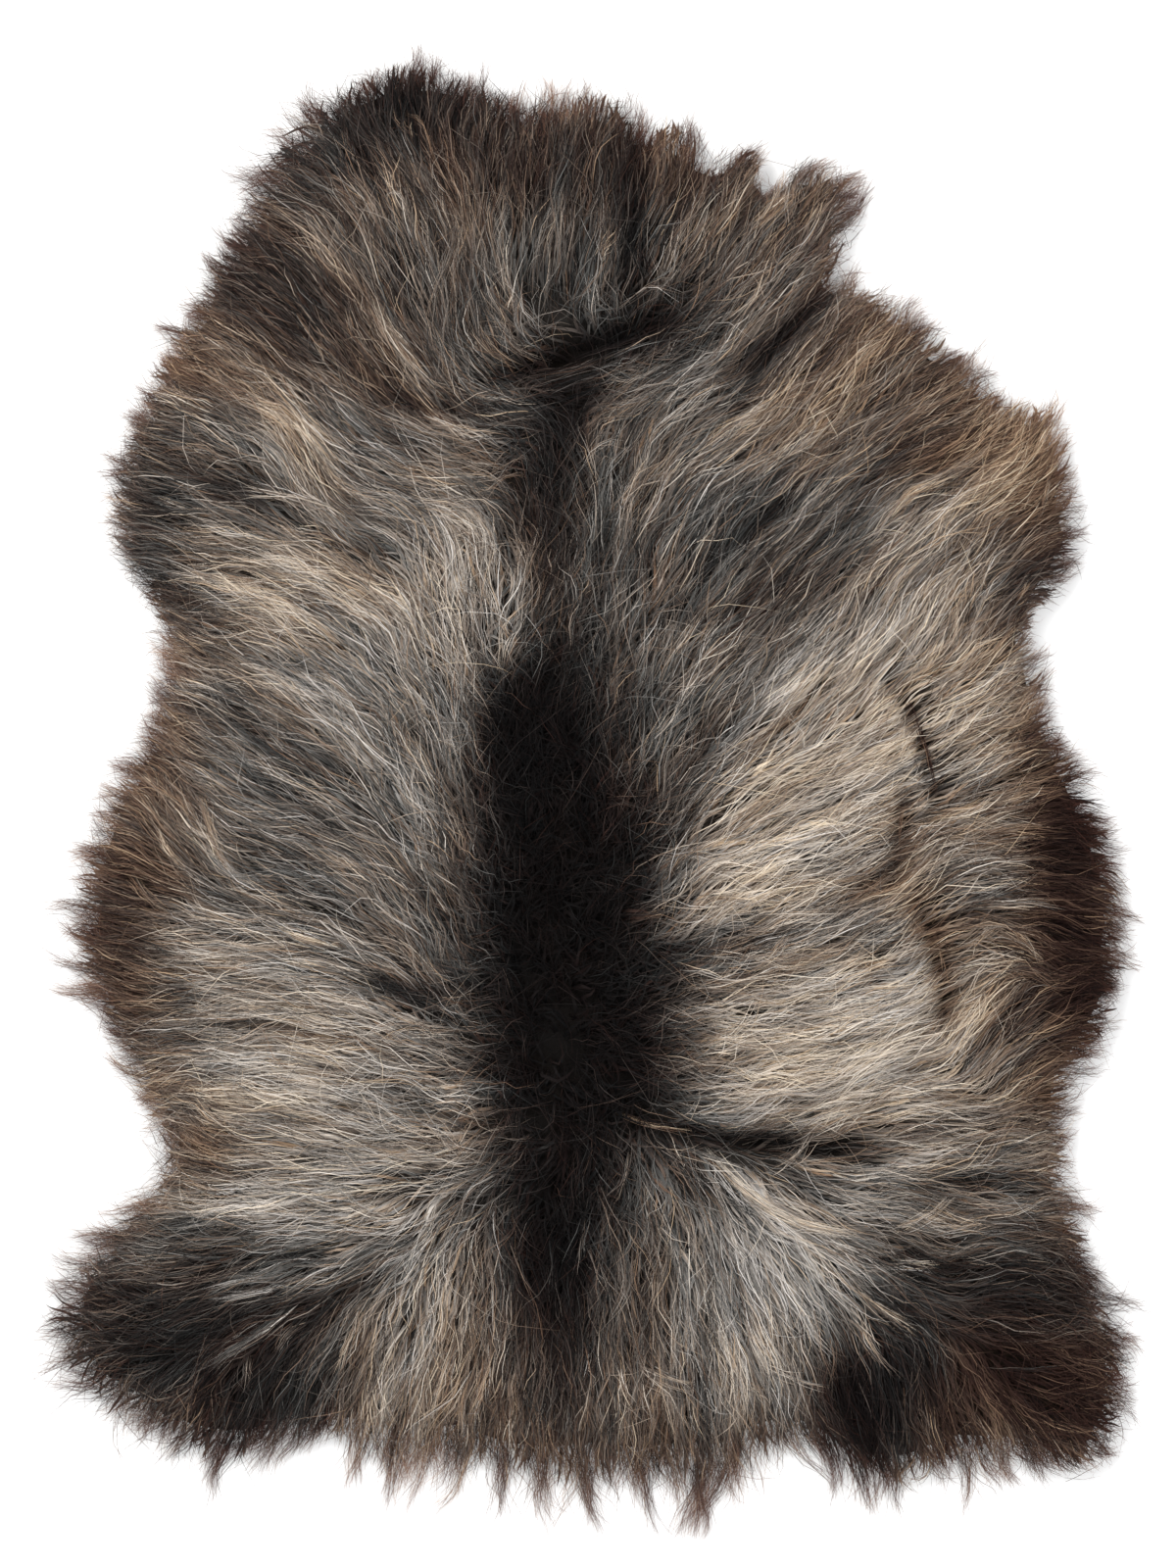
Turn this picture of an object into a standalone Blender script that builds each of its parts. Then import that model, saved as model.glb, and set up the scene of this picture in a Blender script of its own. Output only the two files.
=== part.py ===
"""A long-haired sheepskin laid flat, wool side up, neck towards +Y.

One closed solid: the tanned hide is a thin flat sheet underneath, and the combed wool that grows
out of it is a lumpy slab on top, wider than the hide, with pointed locks standing out all round
its rim and drooping to the surface that the skin lies on. Units are metres and degrees.
"""

import math

import bmesh
import bpy
import numpy as np
from mathutils.geometry import delaunay_2d_cdt

# Thicknesses. The hide's underside is the flat face that the skin rests on, at Z = 0.
HIDE_THICKNESS = 0.002
HIDE_INSET = 0.034  # from the wool's rim in to the hide's trimmed edge
WOOL_DEPTH = 0.046  # of the combed fleece on the flanks, lying
RIM_DEPTH = 0.013  # of the wool where the locks leave it
RIM_LIFT = 0.001  # of the wool's underside there, off the floor
RISE_LENGTH = 0.040  # over which the wool thickens inwards from the rim

# Mesh steps.
LOCKS = 236
LOCK_SHARE = 0.60  # of the rim that the locks' roots take up
CURVE_STEPS = 24  # between two rows of the rim table
TOP_SPACING = 0.0172
TOP_MARGIN = 0.0107  # kept clear inside the rim
HIDE_POINTS = 88
HIDE_SMOOTHING = 60  # passes that take the tufts out of the rim's line
SEAM_TOLERANCE = 1e-7

# A lock: share of its reach, share of its root's width, top height, bottom height.
LOCK_SECTIONS = (
    (0.34, 0.80, 0.0100, 0.0000),
    (0.70, 0.48, 0.0055, 0.0000),
)
LOCK_TIP_HEIGHT = 0.0004
LOCK_REACH = (0.72, 1.12)  # shortest and longest lock, as shares of the rim's reach there
SHORTEST_LOCK = 0.006  # in the deepest notch there is no room for one
LOCK_SWAY = 9.0  # degrees that a lock bends, either way, by its tip
LOCK_SEED = 5

# The rim of the dense wool, clockwise from the neck, one row for each tuft or notch:
# place, x, y, how far the locks reach past it, and the way they point (0 is +X, 90 is +Y).
RIM = (
    ("neck tuft", -0.128, 0.506, 0.024, 92),
    ("neck tuft side", -0.092, 0.497, 0.022, 78),
    ("neck edge", -0.058, 0.483, 0.024, 80),
    ("neck edge", -0.022, 0.478, 0.021, 86),
    ("spine tuft", 0.010, 0.486, 0.024, 68),
    ("spine notch", 0.037, 0.461, 0.010, 74),
    ("second tuft", 0.064, 0.466, 0.022, 74),
    ("notch", 0.090, 0.439, 0.012, 66),
    ("third tuft", 0.116, 0.454, 0.021, 56),
    ("third tuft side", 0.123, 0.438, 0.006, 26),
    ("wedge notch", 0.127, 0.421, 0.003, 84),
    ("fourth tuft", 0.156, 0.439, 0.020, 74),
    ("neck corner", 0.181, 0.425, 0.019, 38),
    ("neck side", 0.181, 0.394, 0.019, 24),
    ("neck root notch", 0.172, 0.358, 0.011, 42),
    ("shoulder top", 0.206, 0.344, 0.019, 46),
    ("shoulder", 0.266, 0.299, 0.023, 44),
    ("shoulder notch", 0.300, 0.268, 0.011, 50),
    ("foreleg tuft", 0.328, 0.261, 0.024, 62),
    ("foreleg", 0.339, 0.226, 0.018, 20),
    ("foreleg foot", 0.346, 0.176, 0.016, 4),
    ("foreleg foot", 0.334, 0.144, 0.015, -12),
    ("foreleg notch", 0.314, 0.118, 0.011, 14),
    ("flank", 0.318, 0.074, 0.018, 38),
    ("flank", 0.333, 0.030, 0.022, 24),
    ("belly", 0.353, -0.010, 0.026, -4),
    ("belly bulge", 0.373, -0.062, 0.019, -8),
    ("belly bulge", 0.378, -0.130, 0.015, -16),
    ("belly", 0.364, -0.180, 0.017, 0),
    ("belly notch", 0.341, -0.218, 0.018, 6),
    ("hind flank", 0.338, -0.282, 0.018, -2),
    ("hind leg", 0.356, -0.344, 0.020, -18),
    ("hind leg", 0.374, -0.392, 0.022, -20),
    ("hind leg", 0.378, -0.446, 0.018, -16),
    ("hind leg corner", 0.354, -0.487, 0.014, -50),
    ("hind edge", 0.306, -0.476, 0.022, -68),
    ("hind edge", 0.268, -0.476, 0.034, -76),
    ("hind edge", 0.236, -0.484, 0.018, -62),
    ("tail lobe", 0.203, -0.489, 0.024, -76),
    ("tail notch", 0.160, -0.466, 0.014, -56),
    ("tail notch", 0.130, -0.462, 0.056, -84),
    ("tail", 0.098, -0.479, 0.050, -84),
    ("tail", 0.056, -0.484, 0.032, -86),
    ("tail", 0.018, -0.484, 0.036, -88),
    ("tail", -0.046, -0.484, 0.034, -92),
    ("rump edge", -0.094, -0.470, 0.026, -96),
    ("rump edge", -0.148, -0.468, 0.027, -106),
    ("rump notch", -0.188, -0.458, 0.020, -114),
    ("left hind edge", -0.236, -0.467, 0.030, -112),
    ("left hind edge", -0.280, -0.466, 0.034, -118),
    ("left hind edge", -0.322, -0.446, 0.040, -140),
    ("left hind leg", -0.358, -0.418, 0.034, -154),
    ("left hind leg", -0.371, -0.382, 0.027, 180),
    ("left hind leg", -0.354, -0.346, 0.026, 178),
    ("left flank", -0.322, -0.312, 0.025, 184),
    ("left notch", -0.298, -0.262, 0.019, 172),
    ("left belly", -0.326, -0.200, 0.020, 172),
    ("left belly", -0.349, -0.142, 0.024, 158),
    ("left wisp", -0.357, -0.112, 0.028, 168),
    ("left flank", -0.346, -0.030, 0.019, 164),
    ("left flank", -0.315, 0.024, 0.021, 152),
    ("left waist", -0.298, 0.076, 0.018, 152),
    ("left waist notch", -0.304, 0.120, 0.013, 160),
    ("left shoulder", -0.332, 0.166, 0.014, 170),
    ("left shoulder", -0.335, 0.222, 0.013, 158),
    ("left shoulder", -0.308, 0.284, 0.017, 148),
    ("left neck", -0.266, 0.364, 0.018, 146),
    ("left neck", -0.238, 0.408, 0.028, 156),
    ("left neck wisps", -0.220, 0.440, 0.034, 160),
    ("neck tuft side", -0.196, 0.476, 0.024, 140),
    ("neck tuft side", -0.164, 0.496, 0.021, 112),
)

# How the wool is combed, away from the spine: x, y, heading. Nearer rows count for more.
COMB_FALL = 4  # power of the distance
COMB = (
    (-0.120, 0.440, 112),
    (-0.020, 0.410, 82),
    (0.110, 0.400, 56),
    (-0.230, 0.360, 146),
    (-0.050, 0.310, 150),
    (0.060, 0.310, 30),
    (0.170, 0.290, 50),
    (-0.200, 0.240, 130),
    (-0.030, 0.220, 95),
    (0.110, 0.210, 42),
    (0.280, 0.220, 36),
    (-0.240, 0.150, 165),
    (-0.090, 0.140, 112),
    (0.040, 0.140, 76),
    (0.220, 0.110, 56),
    (-0.200, 0.030, 146),
    (-0.100, 0.000, 108),
    (0.060, 0.030, 62),
    (0.200, 0.010, 30),
    (-0.260, -0.110, 174),
    (-0.110, -0.110, 128),
    (0.100, -0.070, 30),
    (0.290, -0.070, 0),
    (-0.190, -0.220, 170),
    (0.120, -0.190, 10),
    (0.290, -0.180, 42),
    (-0.220, -0.350, 205),
    (-0.110, -0.380, 256),
    (0.050, -0.370, 276),
    (0.160, -0.350, 302),
    (0.250, -0.290, 0),
    (0.320, -0.400, -14),
    (-0.320, -0.400, 188),
    (-0.010, -0.200, 180),
)

# Partings and hollows pressed into the wool: place, from x, y to x, y, half width, depth.
CREASES = (
    ("neck crease", -0.085, 0.284, 0.045, 0.322, 0.016, 0.014),
    ("neck streak", 0.034, 0.460, 0.030, 0.335, 0.013, 0.008),
    ("neck fold", 0.105, 0.305, 0.166, 0.356, 0.013, 0.009),
    ("withers", -0.025, 0.270, -0.018, 0.110, 0.026, 0.007),
    ("saddle", -0.022, 0.070, -0.020, -0.290, 0.052, 0.010),
    ("rump parting", 0.030, -0.238, 0.120, -0.262, 0.015, 0.013),
    ("rump parting", 0.120, -0.262, 0.212, -0.260, 0.014, 0.010),
    ("flank parting", 0.220, 0.068, 0.254, -0.020, 0.009, 0.010),
    ("lower flank parting", 0.226, -0.012, 0.218, -0.064, 0.009, 0.007),
    ("belly parting", 0.240, -0.090, 0.256, -0.160, 0.010, 0.009),
    ("left hind parting", -0.250, -0.345, -0.150, -0.325, 0.014, 0.006),
)
CREASE_CORE = 0.55  # share of the depth in the narrow middle; the rest is a wide soft trough
CREASE_SPREAD = 2.2  # of the half width, the wide trough

# Slow swells of the whole fleece: height, and turns of the phase for each metre of X and Y.
SWELL_HEIGHT = 0.0030
SWELL_TURNS = ((19.0, 7.0, 0.5), (-9.0, 13.0, 0.0))

# Lumps where neighbouring locks lie together.
LUMP_SPACING = 0.038
LUMP_JITTER = 0.4  # of the spacing
LUMP_LENGTH = 0.042
LUMP_WIDTH = 0.0125
LUMP_HEIGHT = 0.0105
LUMP_LOWEST = 0.45  # of that height
LUMP_ONSET = 2.0  # how soon the lumps reach full height, in from the rim
LUMP_SEED = 11

WOOL_COLOUR = (0.14, 0.115, 0.095, 1.0)
WOOL_ROUGHNESS = 0.85
SHARP_ANGLE = 50.0  # degrees between faces, past which an edge is drawn sharp


def headings(degrees):
    """Unit vectors for headings given in degrees."""
    radians = np.radians(np.asarray(degrees, dtype=float))
    return np.stack([np.cos(radians), np.sin(radians)], axis=1)


def closed_curve(rows):
    """A smooth closed curve through every row; each row holds x, y and values carried along."""
    points = []
    count = len(rows)
    for i in range(count):
        before, here, after, beyond = (rows[(i + k) % count] for k in (-1, 0, 1, 2))
        for step in range(CURVE_STEPS):
            t = step / CURVE_STEPS
            points.append(
                0.5
                * (
                    2 * here
                    + (after - before) * t
                    + (2 * before - 5 * here + 4 * after - beyond) * t**2
                    + (3 * here - before - 3 * after + beyond) * t**3
                )
            )
    return np.array(points)


def at_lengths(curve, shares):
    """The curve's rows at shares, from 0 to 1, of its whole length."""
    closed = np.vstack([curve, curve[:1]])
    lengths = np.concatenate(
        [[0.0], np.cumsum(np.linalg.norm(np.diff(closed[:, :2], axis=0), axis=1))]
    )
    wanted = np.asarray(shares) * lengths[-1]
    return np.stack([np.interp(wanted, lengths, column) for column in closed.T], axis=1)


def distance_to_segment(points, start, end):
    along = end - start
    share = np.clip((points - start) @ along / (along @ along), 0.0, 1.0)
    return np.linalg.norm(points - start - share[:, None] * along, axis=1)


def distance_to_ring(points, ring):
    gaps = [
        distance_to_segment(points, ring[i], ring[(i + 1) % len(ring)]) for i in range(len(ring))
    ]
    return np.min(gaps, axis=0)


def inside(points, ring):
    """Whether each point is inside the ring, by counting the sides that it looks across."""
    crossings = np.zeros(len(points), dtype=int)
    for i in range(len(ring)):
        (x1, y1), (x2, y2) = ring[i], ring[(i + 1) % len(ring)]
        spans = (y1 > points[:, 1]) != (y2 > points[:, 1])
        if spans.any():
            crossing_x = x1 + (points[:, 1] - y1) * (x2 - x1) / (y2 - y1)
            crossings += spans & (points[:, 0] < crossing_x)
    return crossings % 2 == 1


def combed(points):
    """The wool's direction at each point, from the nearest rows of the comb table."""
    comb = np.array(COMB)
    away = np.linalg.norm(points[:, None, :] - comb[None, :, :2], axis=2)
    weights = 1 / (away**COMB_FALL + 1e-9)
    mixed = weights @ headings(comb[:, 2])
    return mixed / np.linalg.norm(mixed, axis=1, keepdims=True)


def triangular_grid(ring, spacing, margin):
    """Points of an even triangular grid inside the ring, at least the margin away from it."""
    low, high = ring.min(axis=0), ring.max(axis=0)
    row_step = spacing * math.sqrt(3) / 2
    points = []
    for row in range(int((high[1] - low[1]) / row_step) + 1):
        shift = spacing / 2 * (row % 2)
        for column in range(int((high[0] - low[0]) / spacing) + 1):
            points.append((low[0] + column * spacing + shift, low[1] + row * row_step))
    points = np.array(points)
    points = points[inside(points, ring)]
    return points[distance_to_ring(points, ring) > margin]


def lumps(points, ring):
    """Height of the long lumps that the combed locks make."""
    centres = triangular_grid(ring, LUMP_SPACING, RIM_DEPTH)
    drawn = np.random.default_rng(LUMP_SEED)
    centres = centres + drawn.uniform(-LUMP_JITTER, LUMP_JITTER, centres.shape) * LUMP_SPACING
    heights = LUMP_HEIGHT * drawn.uniform(LUMP_LOWEST, 1.0, len(centres))
    heading = combed(centres)
    across = np.stack([-heading[:, 1], heading[:, 0]], axis=1)
    height = np.zeros(len(points))
    for centre, lengthways, sideways, tall in zip(centres, heading, across, heights, strict=True):
        offset = points - centre
        spread = (offset @ lengthways / LUMP_LENGTH) ** 2 + (offset @ sideways / LUMP_WIDTH) ** 2
        height = np.maximum(height, tall * np.exp(-spread / 2))
    return height


def wool_height(points, ring):
    """The fleece's top: it rises from the rim, with lumps, hollows and partings."""
    gap = distance_to_ring(points, ring)
    rise = 1 - np.exp(-gap / RISE_LENGTH)
    height = RIM_DEPTH + (WOOL_DEPTH - RIM_DEPTH - LUMP_HEIGHT) * rise
    height += lumps(points, ring) * np.clip(rise * LUMP_ONSET, 0, 1)
    swell = SWELL_HEIGHT * rise
    for turns_x, turns_y, phase in SWELL_TURNS:
        swell = swell * np.sin(turns_x * points[:, 0] + turns_y * points[:, 1] + phase)
    height += swell
    for _place, x1, y1, x2, y2, half_width, depth in CREASES:
        away = distance_to_segment(points, np.array((x1, y1)), np.array((x2, y2)))
        core = np.exp(-((away / half_width) ** 2) / 2)
        wide = np.exp(-((away / (CREASE_SPREAD * half_width)) ** 2) / 2)
        trough = CREASE_CORE * core + (1 - CREASE_CORE) * wide
        height -= depth * trough * rise
    return height


def hide_edge(rim):
    """The hide's trimmed edge: the rim, smoothed and drawn in."""
    smooth = rim.copy()
    for _pass in range(HIDE_SMOOTHING):
        smooth = (np.roll(smooth, 1, axis=0) + 2 * smooth + np.roll(smooth, -1, axis=0)) / 4
    ahead = np.roll(smooth, -1, axis=0) - np.roll(smooth, 1, axis=0)
    ahead /= np.linalg.norm(ahead, axis=1, keepdims=True)
    inward = np.stack([ahead[:, 1], -ahead[:, 0]], axis=1)  # the rim runs clockwise
    drawn_in = smooth + HIDE_INSET * inward
    shares = np.arange(HIDE_POINTS) / HIDE_POINTS
    return at_lengths(drawn_in, shares)


def turned(vector, degrees):
    angle = math.radians(degrees)
    return np.array(
        (
            math.cos(angle) * vector[0] - math.sin(angle) * vector[1],
            math.sin(angle) * vector[0] + math.cos(angle) * vector[1],
        )
    )


def add_lock(shape, root, heading, reach, sway):
    """One lock: the rim face's four corners drawn out, bent a little and let down to the floor."""
    start, end = (np.array(root[i].co.xy) for i in (0, 1))
    middle, half = (start + end) / 2, (end - start) / 2
    last = root
    for share, width, top, bottom in LOCK_SECTIONS:
        way = turned(heading, sway * share)
        across = np.array((way[1], -way[0])) * np.linalg.norm(half)
        if across @ half < 0:
            across = -across
        # The sections turn from the rim's own line to square across the lock.
        side = (half * (1 - share) + across * share) * width
        left, right = middle + way * reach * share - side, middle + way * reach * share + side
        corners = ((*left, bottom), (*right, bottom), (*right, top), (*left, top))
        section = [shape.verts.new(corner) for corner in corners]
        for k in range(4):
            shape.faces.new((last[k], last[(k + 1) % 4], section[(k + 1) % 4], section[k]))
        last = section
    point = shape.verts.new((*(middle + turned(heading, sway) * reach), LOCK_TIP_HEIGHT))
    for k in range(4):
        shape.faces.new((last[k], last[(k + 1) % 4], point))


def wool_rim():
    """The rim's corners, two to a lock, with each corner's reach and direction."""
    rows = np.array([(x, y, reach) for _place, x, y, reach, _heading in RIM])
    curve = closed_curve(np.hstack([rows, headings([row[-1] for row in RIM])]))
    starts = np.arange(LOCKS) / LOCKS
    rim = at_lengths(curve, np.sort(np.concatenate([starts, starts + LOCK_SHARE / LOCKS])))
    return rim[:, :2], rim[:, 2], rim[:, 3:]


def sides_of(count, first=0):
    return [(first + i, first + (i + 1) % count) for i in range(count)]


def fill(points, sides):
    """Triangles, turned up, that fill what the sides enclose."""
    corners = [tuple(point) for point in points]
    return delaunay_2d_cdt(corners, sides, [], 1, SEAM_TOLERANCE)[2]


def add_wool_top(shape, ring):
    """The fleece's upper surface; its first corners are the rim's."""
    grid = triangular_grid(ring, TOP_SPACING, TOP_MARGIN)
    points = np.vstack([ring, grid])
    heights = np.concatenate([np.full(len(ring), RIM_DEPTH), wool_height(grid, ring)])
    corners = [shape.verts.new((x, y, z)) for (x, y), z in zip(points, heights, strict=True)]
    for face in fill(points, sides_of(len(ring))):
        shape.faces.new([corners[i] for i in face])
    return corners[: len(ring)]


def add_underside(shape, ring):
    """The wool's underside, in from the rim to the hide's edge, and the hide's face below it."""
    edge = hide_edge(ring)
    sides = sides_of(len(ring)) + sides_of(len(edge), len(ring))
    rim = [shape.verts.new((x, y, RIM_LIFT)) for x, y in ring]
    hide_top = [shape.verts.new((x, y, HIDE_THICKNESS)) for x, y in edge]
    hide_face = [shape.verts.new((x, y, 0.0)) for x, y in edge]
    corners = rim + hide_top
    for face in fill(np.vstack([ring, edge]), sides):
        if min(face) < len(ring):
            shape.faces.new([corners[i] for i in reversed(face)])
    for i, k in sides_of(len(edge)):
        shape.faces.new((hide_top[i], hide_top[k], hide_face[k], hide_face[i]))
    shape.faces.new(hide_face)
    return rim


def add_locks(shape, low, high, reaches, pointing):
    """The rim's upright faces: every other one is a lock's root, and those between are gaps."""
    drawn = np.random.default_rng(LOCK_SEED)
    for i, k in sides_of(len(low)):
        root = (low[i], low[k], high[k], high[i])
        reach = (reaches[i] + reaches[k]) / 2 * drawn.uniform(*LOCK_REACH)
        sway = drawn.uniform(-LOCK_SWAY, LOCK_SWAY)
        if i % 2 == 1 or reach < SHORTEST_LOCK:
            shape.faces.new(root)
            continue
        heading = (pointing[i] + pointing[k]) / np.linalg.norm(pointing[i] + pointing[k])
        add_lock(shape, root, heading, reach, sway)


def sheepskin_mesh():
    """The whole skin as one closed mesh, with the middle of its box over the origin."""
    ring, reaches, pointing = wool_rim()
    shape = bmesh.new()
    high = add_wool_top(shape, ring)
    low = add_underside(shape, ring)
    add_locks(shape, low, high, reaches, pointing)
    bmesh.ops.recalc_face_normals(shape, faces=shape.faces)
    places = np.array([vertex.co for vertex in shape.verts])
    middle = (places.min(axis=0) + places.max(axis=0)) / 2
    bmesh.ops.translate(shape, verts=shape.verts, vec=(-middle[0], -middle[1], 0.0))
    mesh = bpy.data.meshes.new("sheepskin")
    shape.to_mesh(mesh)
    shape.free()
    return mesh


def wool_material():
    material = bpy.data.materials.new("combed wool")
    material.use_nodes = True
    shader = material.node_tree.nodes["Principled BSDF"]
    shader.inputs["Base Color"].default_value = WOOL_COLOUR
    shader.inputs["Roughness"].default_value = WOOL_ROUGHNESS
    shader.inputs["Metallic"].default_value = 0.0
    return material


for left_over in list(bpy.data.objects):
    bpy.data.objects.remove(left_over)

skin_mesh = sheepskin_mesh()
skin_mesh.materials.append(wool_material())
skin_mesh.shade_smooth()
skin_mesh.set_sharp_from_angle(angle=math.radians(SHARP_ANGLE))
bpy.context.scene.collection.objects.link(bpy.data.objects.new("sheepskin", skin_mesh))
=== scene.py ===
"""A long-haired sheepskin lying flat, wool side up, neck towards +Y: its hide and its wool.

+X is to the right and +Y up the neck. Places in the tables are in millimetres, in the skin's own
plan, and headings in degrees from +X. All else is in metres.
"""

import math

import bmesh
import bpy
import numpy as np
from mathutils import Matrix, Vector
from mathutils.bvhtree import BVHTree
from mathutils.geometry import delaunay_2d_cdt


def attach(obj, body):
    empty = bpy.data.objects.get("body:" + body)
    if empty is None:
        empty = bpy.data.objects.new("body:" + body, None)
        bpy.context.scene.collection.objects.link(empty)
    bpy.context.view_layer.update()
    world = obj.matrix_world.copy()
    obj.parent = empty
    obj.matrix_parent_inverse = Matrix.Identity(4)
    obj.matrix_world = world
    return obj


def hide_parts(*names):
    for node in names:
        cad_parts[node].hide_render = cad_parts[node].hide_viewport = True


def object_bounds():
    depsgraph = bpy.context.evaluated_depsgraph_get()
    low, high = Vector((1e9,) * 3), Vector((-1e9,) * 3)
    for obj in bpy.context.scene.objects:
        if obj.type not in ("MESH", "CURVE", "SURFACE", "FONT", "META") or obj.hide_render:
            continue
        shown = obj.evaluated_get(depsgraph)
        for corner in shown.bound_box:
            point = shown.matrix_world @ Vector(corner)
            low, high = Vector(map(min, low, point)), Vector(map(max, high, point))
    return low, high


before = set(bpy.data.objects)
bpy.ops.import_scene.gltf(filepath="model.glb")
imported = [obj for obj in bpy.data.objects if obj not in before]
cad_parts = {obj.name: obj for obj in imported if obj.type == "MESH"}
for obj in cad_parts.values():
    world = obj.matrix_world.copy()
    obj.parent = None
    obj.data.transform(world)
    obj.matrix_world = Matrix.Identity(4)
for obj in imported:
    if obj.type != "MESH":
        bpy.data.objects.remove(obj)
cad_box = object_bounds()

# The studio: a pale floor, two broad soft lights and a long lens that looks straight down on the
# middle of the photograph, whose frame is 1600 pixels high, of 0.70 mm each on the skin.
FRAME_HEIGHT = 1600 * 0.0007
LENS_HEIGHT = 4.6  # above the wool
WOOL_LEVEL = 0.03
SENSOR = 36.0
TABLE_MIDDLE = np.array((-0.0012, -0.0002))  # middle of the solid's box, in the tables' plan
MILLIMETRES = 1000  # in a metre
FLOOR_SIZE = 9.0
FLOOR_GAP = 0.0004  # under the hide
FLOOR_COLOUR = (0.78, 0.78, 0.78, 1.0)
FLOOR_GLOW = 0.28
SKY_GLOW = 0.78
WHITE = (1.0, 1.0, 1.0, 1.0)

stage = bpy.context.scene
stage.view_settings.view_transform = "Standard"

lens = bpy.data.cameras.new("overhead")
lens.sensor_width = SENSOR
lens.lens = SENSOR * LENS_HEIGHT / FRAME_HEIGHT
lens.clip_end = 50.0
camera = bpy.data.objects.new("overhead", lens)
camera.location = (-TABLE_MIDDLE[0], -TABLE_MIDDLE[1], LENS_HEIGHT + WOOL_LEVEL)
stage.collection.objects.link(camera)
stage.camera = camera


def soft_light(name, size, watts, place, colour):
    """A square soft box that faces the skin's middle."""
    lamp = bpy.data.lights.new(name, "AREA")
    lamp.size = size
    lamp.energy = watts
    lamp.color = colour
    box = bpy.data.objects.new(name, lamp)
    box.location = place
    box.rotation_euler = (-Vector(place)).to_track_quat("-Z", "Y").to_euler()
    stage.collection.objects.link(box)


soft_light("key", 1.5, 98.0, (-1.6, 1.9, 2.6), (1.0, 0.985, 0.965))
soft_light("fill", 2.4, 32.0, (2.2, -1.2, 2.8), (0.97, 0.985, 1.0))

sky = bpy.data.worlds.new("studio")
sky.use_nodes = True
sky.node_tree.nodes["Background"].inputs["Color"].default_value = WHITE
sky.node_tree.nodes["Background"].inputs["Strength"].default_value = SKY_GLOW
stage.world = sky

floor_mesh = bpy.data.meshes.new("floor")
half = FLOOR_SIZE / 2
floor_mesh.from_pydata(
    [(-half, -half, 0), (half, -half, 0), (half, half, 0), (-half, half, 0)], [], [(0, 1, 2, 3)]
)
floor_coat = bpy.data.materials.new("pale floor")
floor_coat.use_nodes = True
floor_shader = floor_coat.node_tree.nodes["Principled BSDF"]
floor_shader.inputs["Base Color"].default_value = FLOOR_COLOUR
floor_shader.inputs["Roughness"].default_value = 0.9
floor_shader.inputs["Emission Color"].default_value = WHITE
floor_shader.inputs["Emission Strength"].default_value = FLOOR_GLOW
floor_mesh.materials.append(floor_coat)
floor = bpy.data.objects.new("floor", floor_mesh)
floor.location.z = -FLOOR_GAP
stage.collection.objects.link(floor)

# The hide: one tanned sheepskin, trimmed a hand's breadth in from where the wool ends, pale suede
# below, with the wool growing out of its upper face. It lies flat under the fleece and rests on
# the floor.
HIDE_THICKNESS = 0.0018
HIDE_INSET = 0.0345
HIDE_SPACING = 0.016
HIDE_LIFT = 0.0001
CURVE_STEPS = 12
RIM_POINTS = 480
HIDE_POINTS = 160
HIDE_SMOOTHING = 60
HIDE_SHARP = 45  # degrees
TINY = 1e-12
# The rim of the dense wool, clockwise from the neck: x, y, how far its locks reach, heading.
RIM = (
    (-128, 506, 24, 92), (-92, 497, 22, 78), (-58, 483, 24, 80), (-22, 478, 21, 86),
    (10, 486, 24, 68), (37, 461, 10, 74), (64, 466, 22, 74), (90, 439, 12, 66), (116, 454, 21, 56),
    (123, 438, 6, 26), (127, 421, 3, 84), (156, 439, 20, 74), (181, 425, 19, 38),
    (181, 394, 19, 24), (172, 358, 11, 42), (206, 344, 19, 46), (266, 299, 23, 44),
    (300, 268, 11, 50), (328, 261, 24, 62), (339, 226, 18, 20), (346, 176, 16, 4),
    (334, 144, 15, -12), (314, 118, 11, 14), (318, 74, 18, 38), (333, 30, 22, 24),
    (353, -10, 26, -4), (373, -62, 19, -8), (378, -130, 15, -16), (364, -180, 17, 0),
    (341, -218, 18, 6), (338, -282, 18, -2), (356, -344, 20, -18), (374, -392, 22, -20),
    (378, -446, 18, -16), (354, -487, 14, -50), (306, -476, 22, -68), (268, -476, 36, -76),
    (236, -484, 26, -66), (203, -489, 32, -76), (160, -466, 22, -56), (130, -462, 56, -84),
    (98, -479, 56, -84), (56, -482, 54, -86), (18, -482, 52, -88), (-46, -480, 50, -92),
    (-94, -468, 45, -96), (-148, -466, 42, -106), (-188, -458, 28, -112), (-236, -467, 34, -114),
    (-280, -466, 36, -122), (-322, -446, 38, -138), (-360, -420, 38, -150), (-371, -382, 32, 180),
    (-354, -346, 26, 178), (-322, -312, 25, 184), (-298, -262, 19, 172), (-326, -200, 20, 172),
    (-349, -142, 24, 158), (-357, -112, 28, 168), (-346, -30, 19, 164), (-315, 24, 21, 152),
    (-298, 76, 18, 152), (-304, 120, 13, 160), (-332, 166, 14, 170), (-335, 222, 13, 158),
    (-308, 284, 17, 148), (-266, 364, 18, 146), (-238, 408, 28, 156), (-220, 440, 34, 160),
    (-196, 476, 24, 140), (-164, 496, 21, 112),
)


def headings(degrees):
    """Unit vectors for headings given in degrees."""
    radians = np.radians(np.asarray(degrees, dtype=float))
    return np.stack([np.cos(radians), np.sin(radians)], axis=-1)


def unit(ways, spare=0.0):
    """The ways, each brought to a length of 1."""
    return ways / (np.linalg.norm(ways, axis=-1, keepdims=True) + spare)


def left_of(ways):
    """The ways, each turned a quarter to the left."""
    return np.stack([-ways[..., 1], ways[..., 0]], axis=-1)


def evened(line, passes):
    """A closed line with its corners eased."""
    for _pass in range(passes):
        line = (np.roll(line, 1, 0) + 2 * line + np.roll(line, -1, 0)) / 4
    return line


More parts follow.
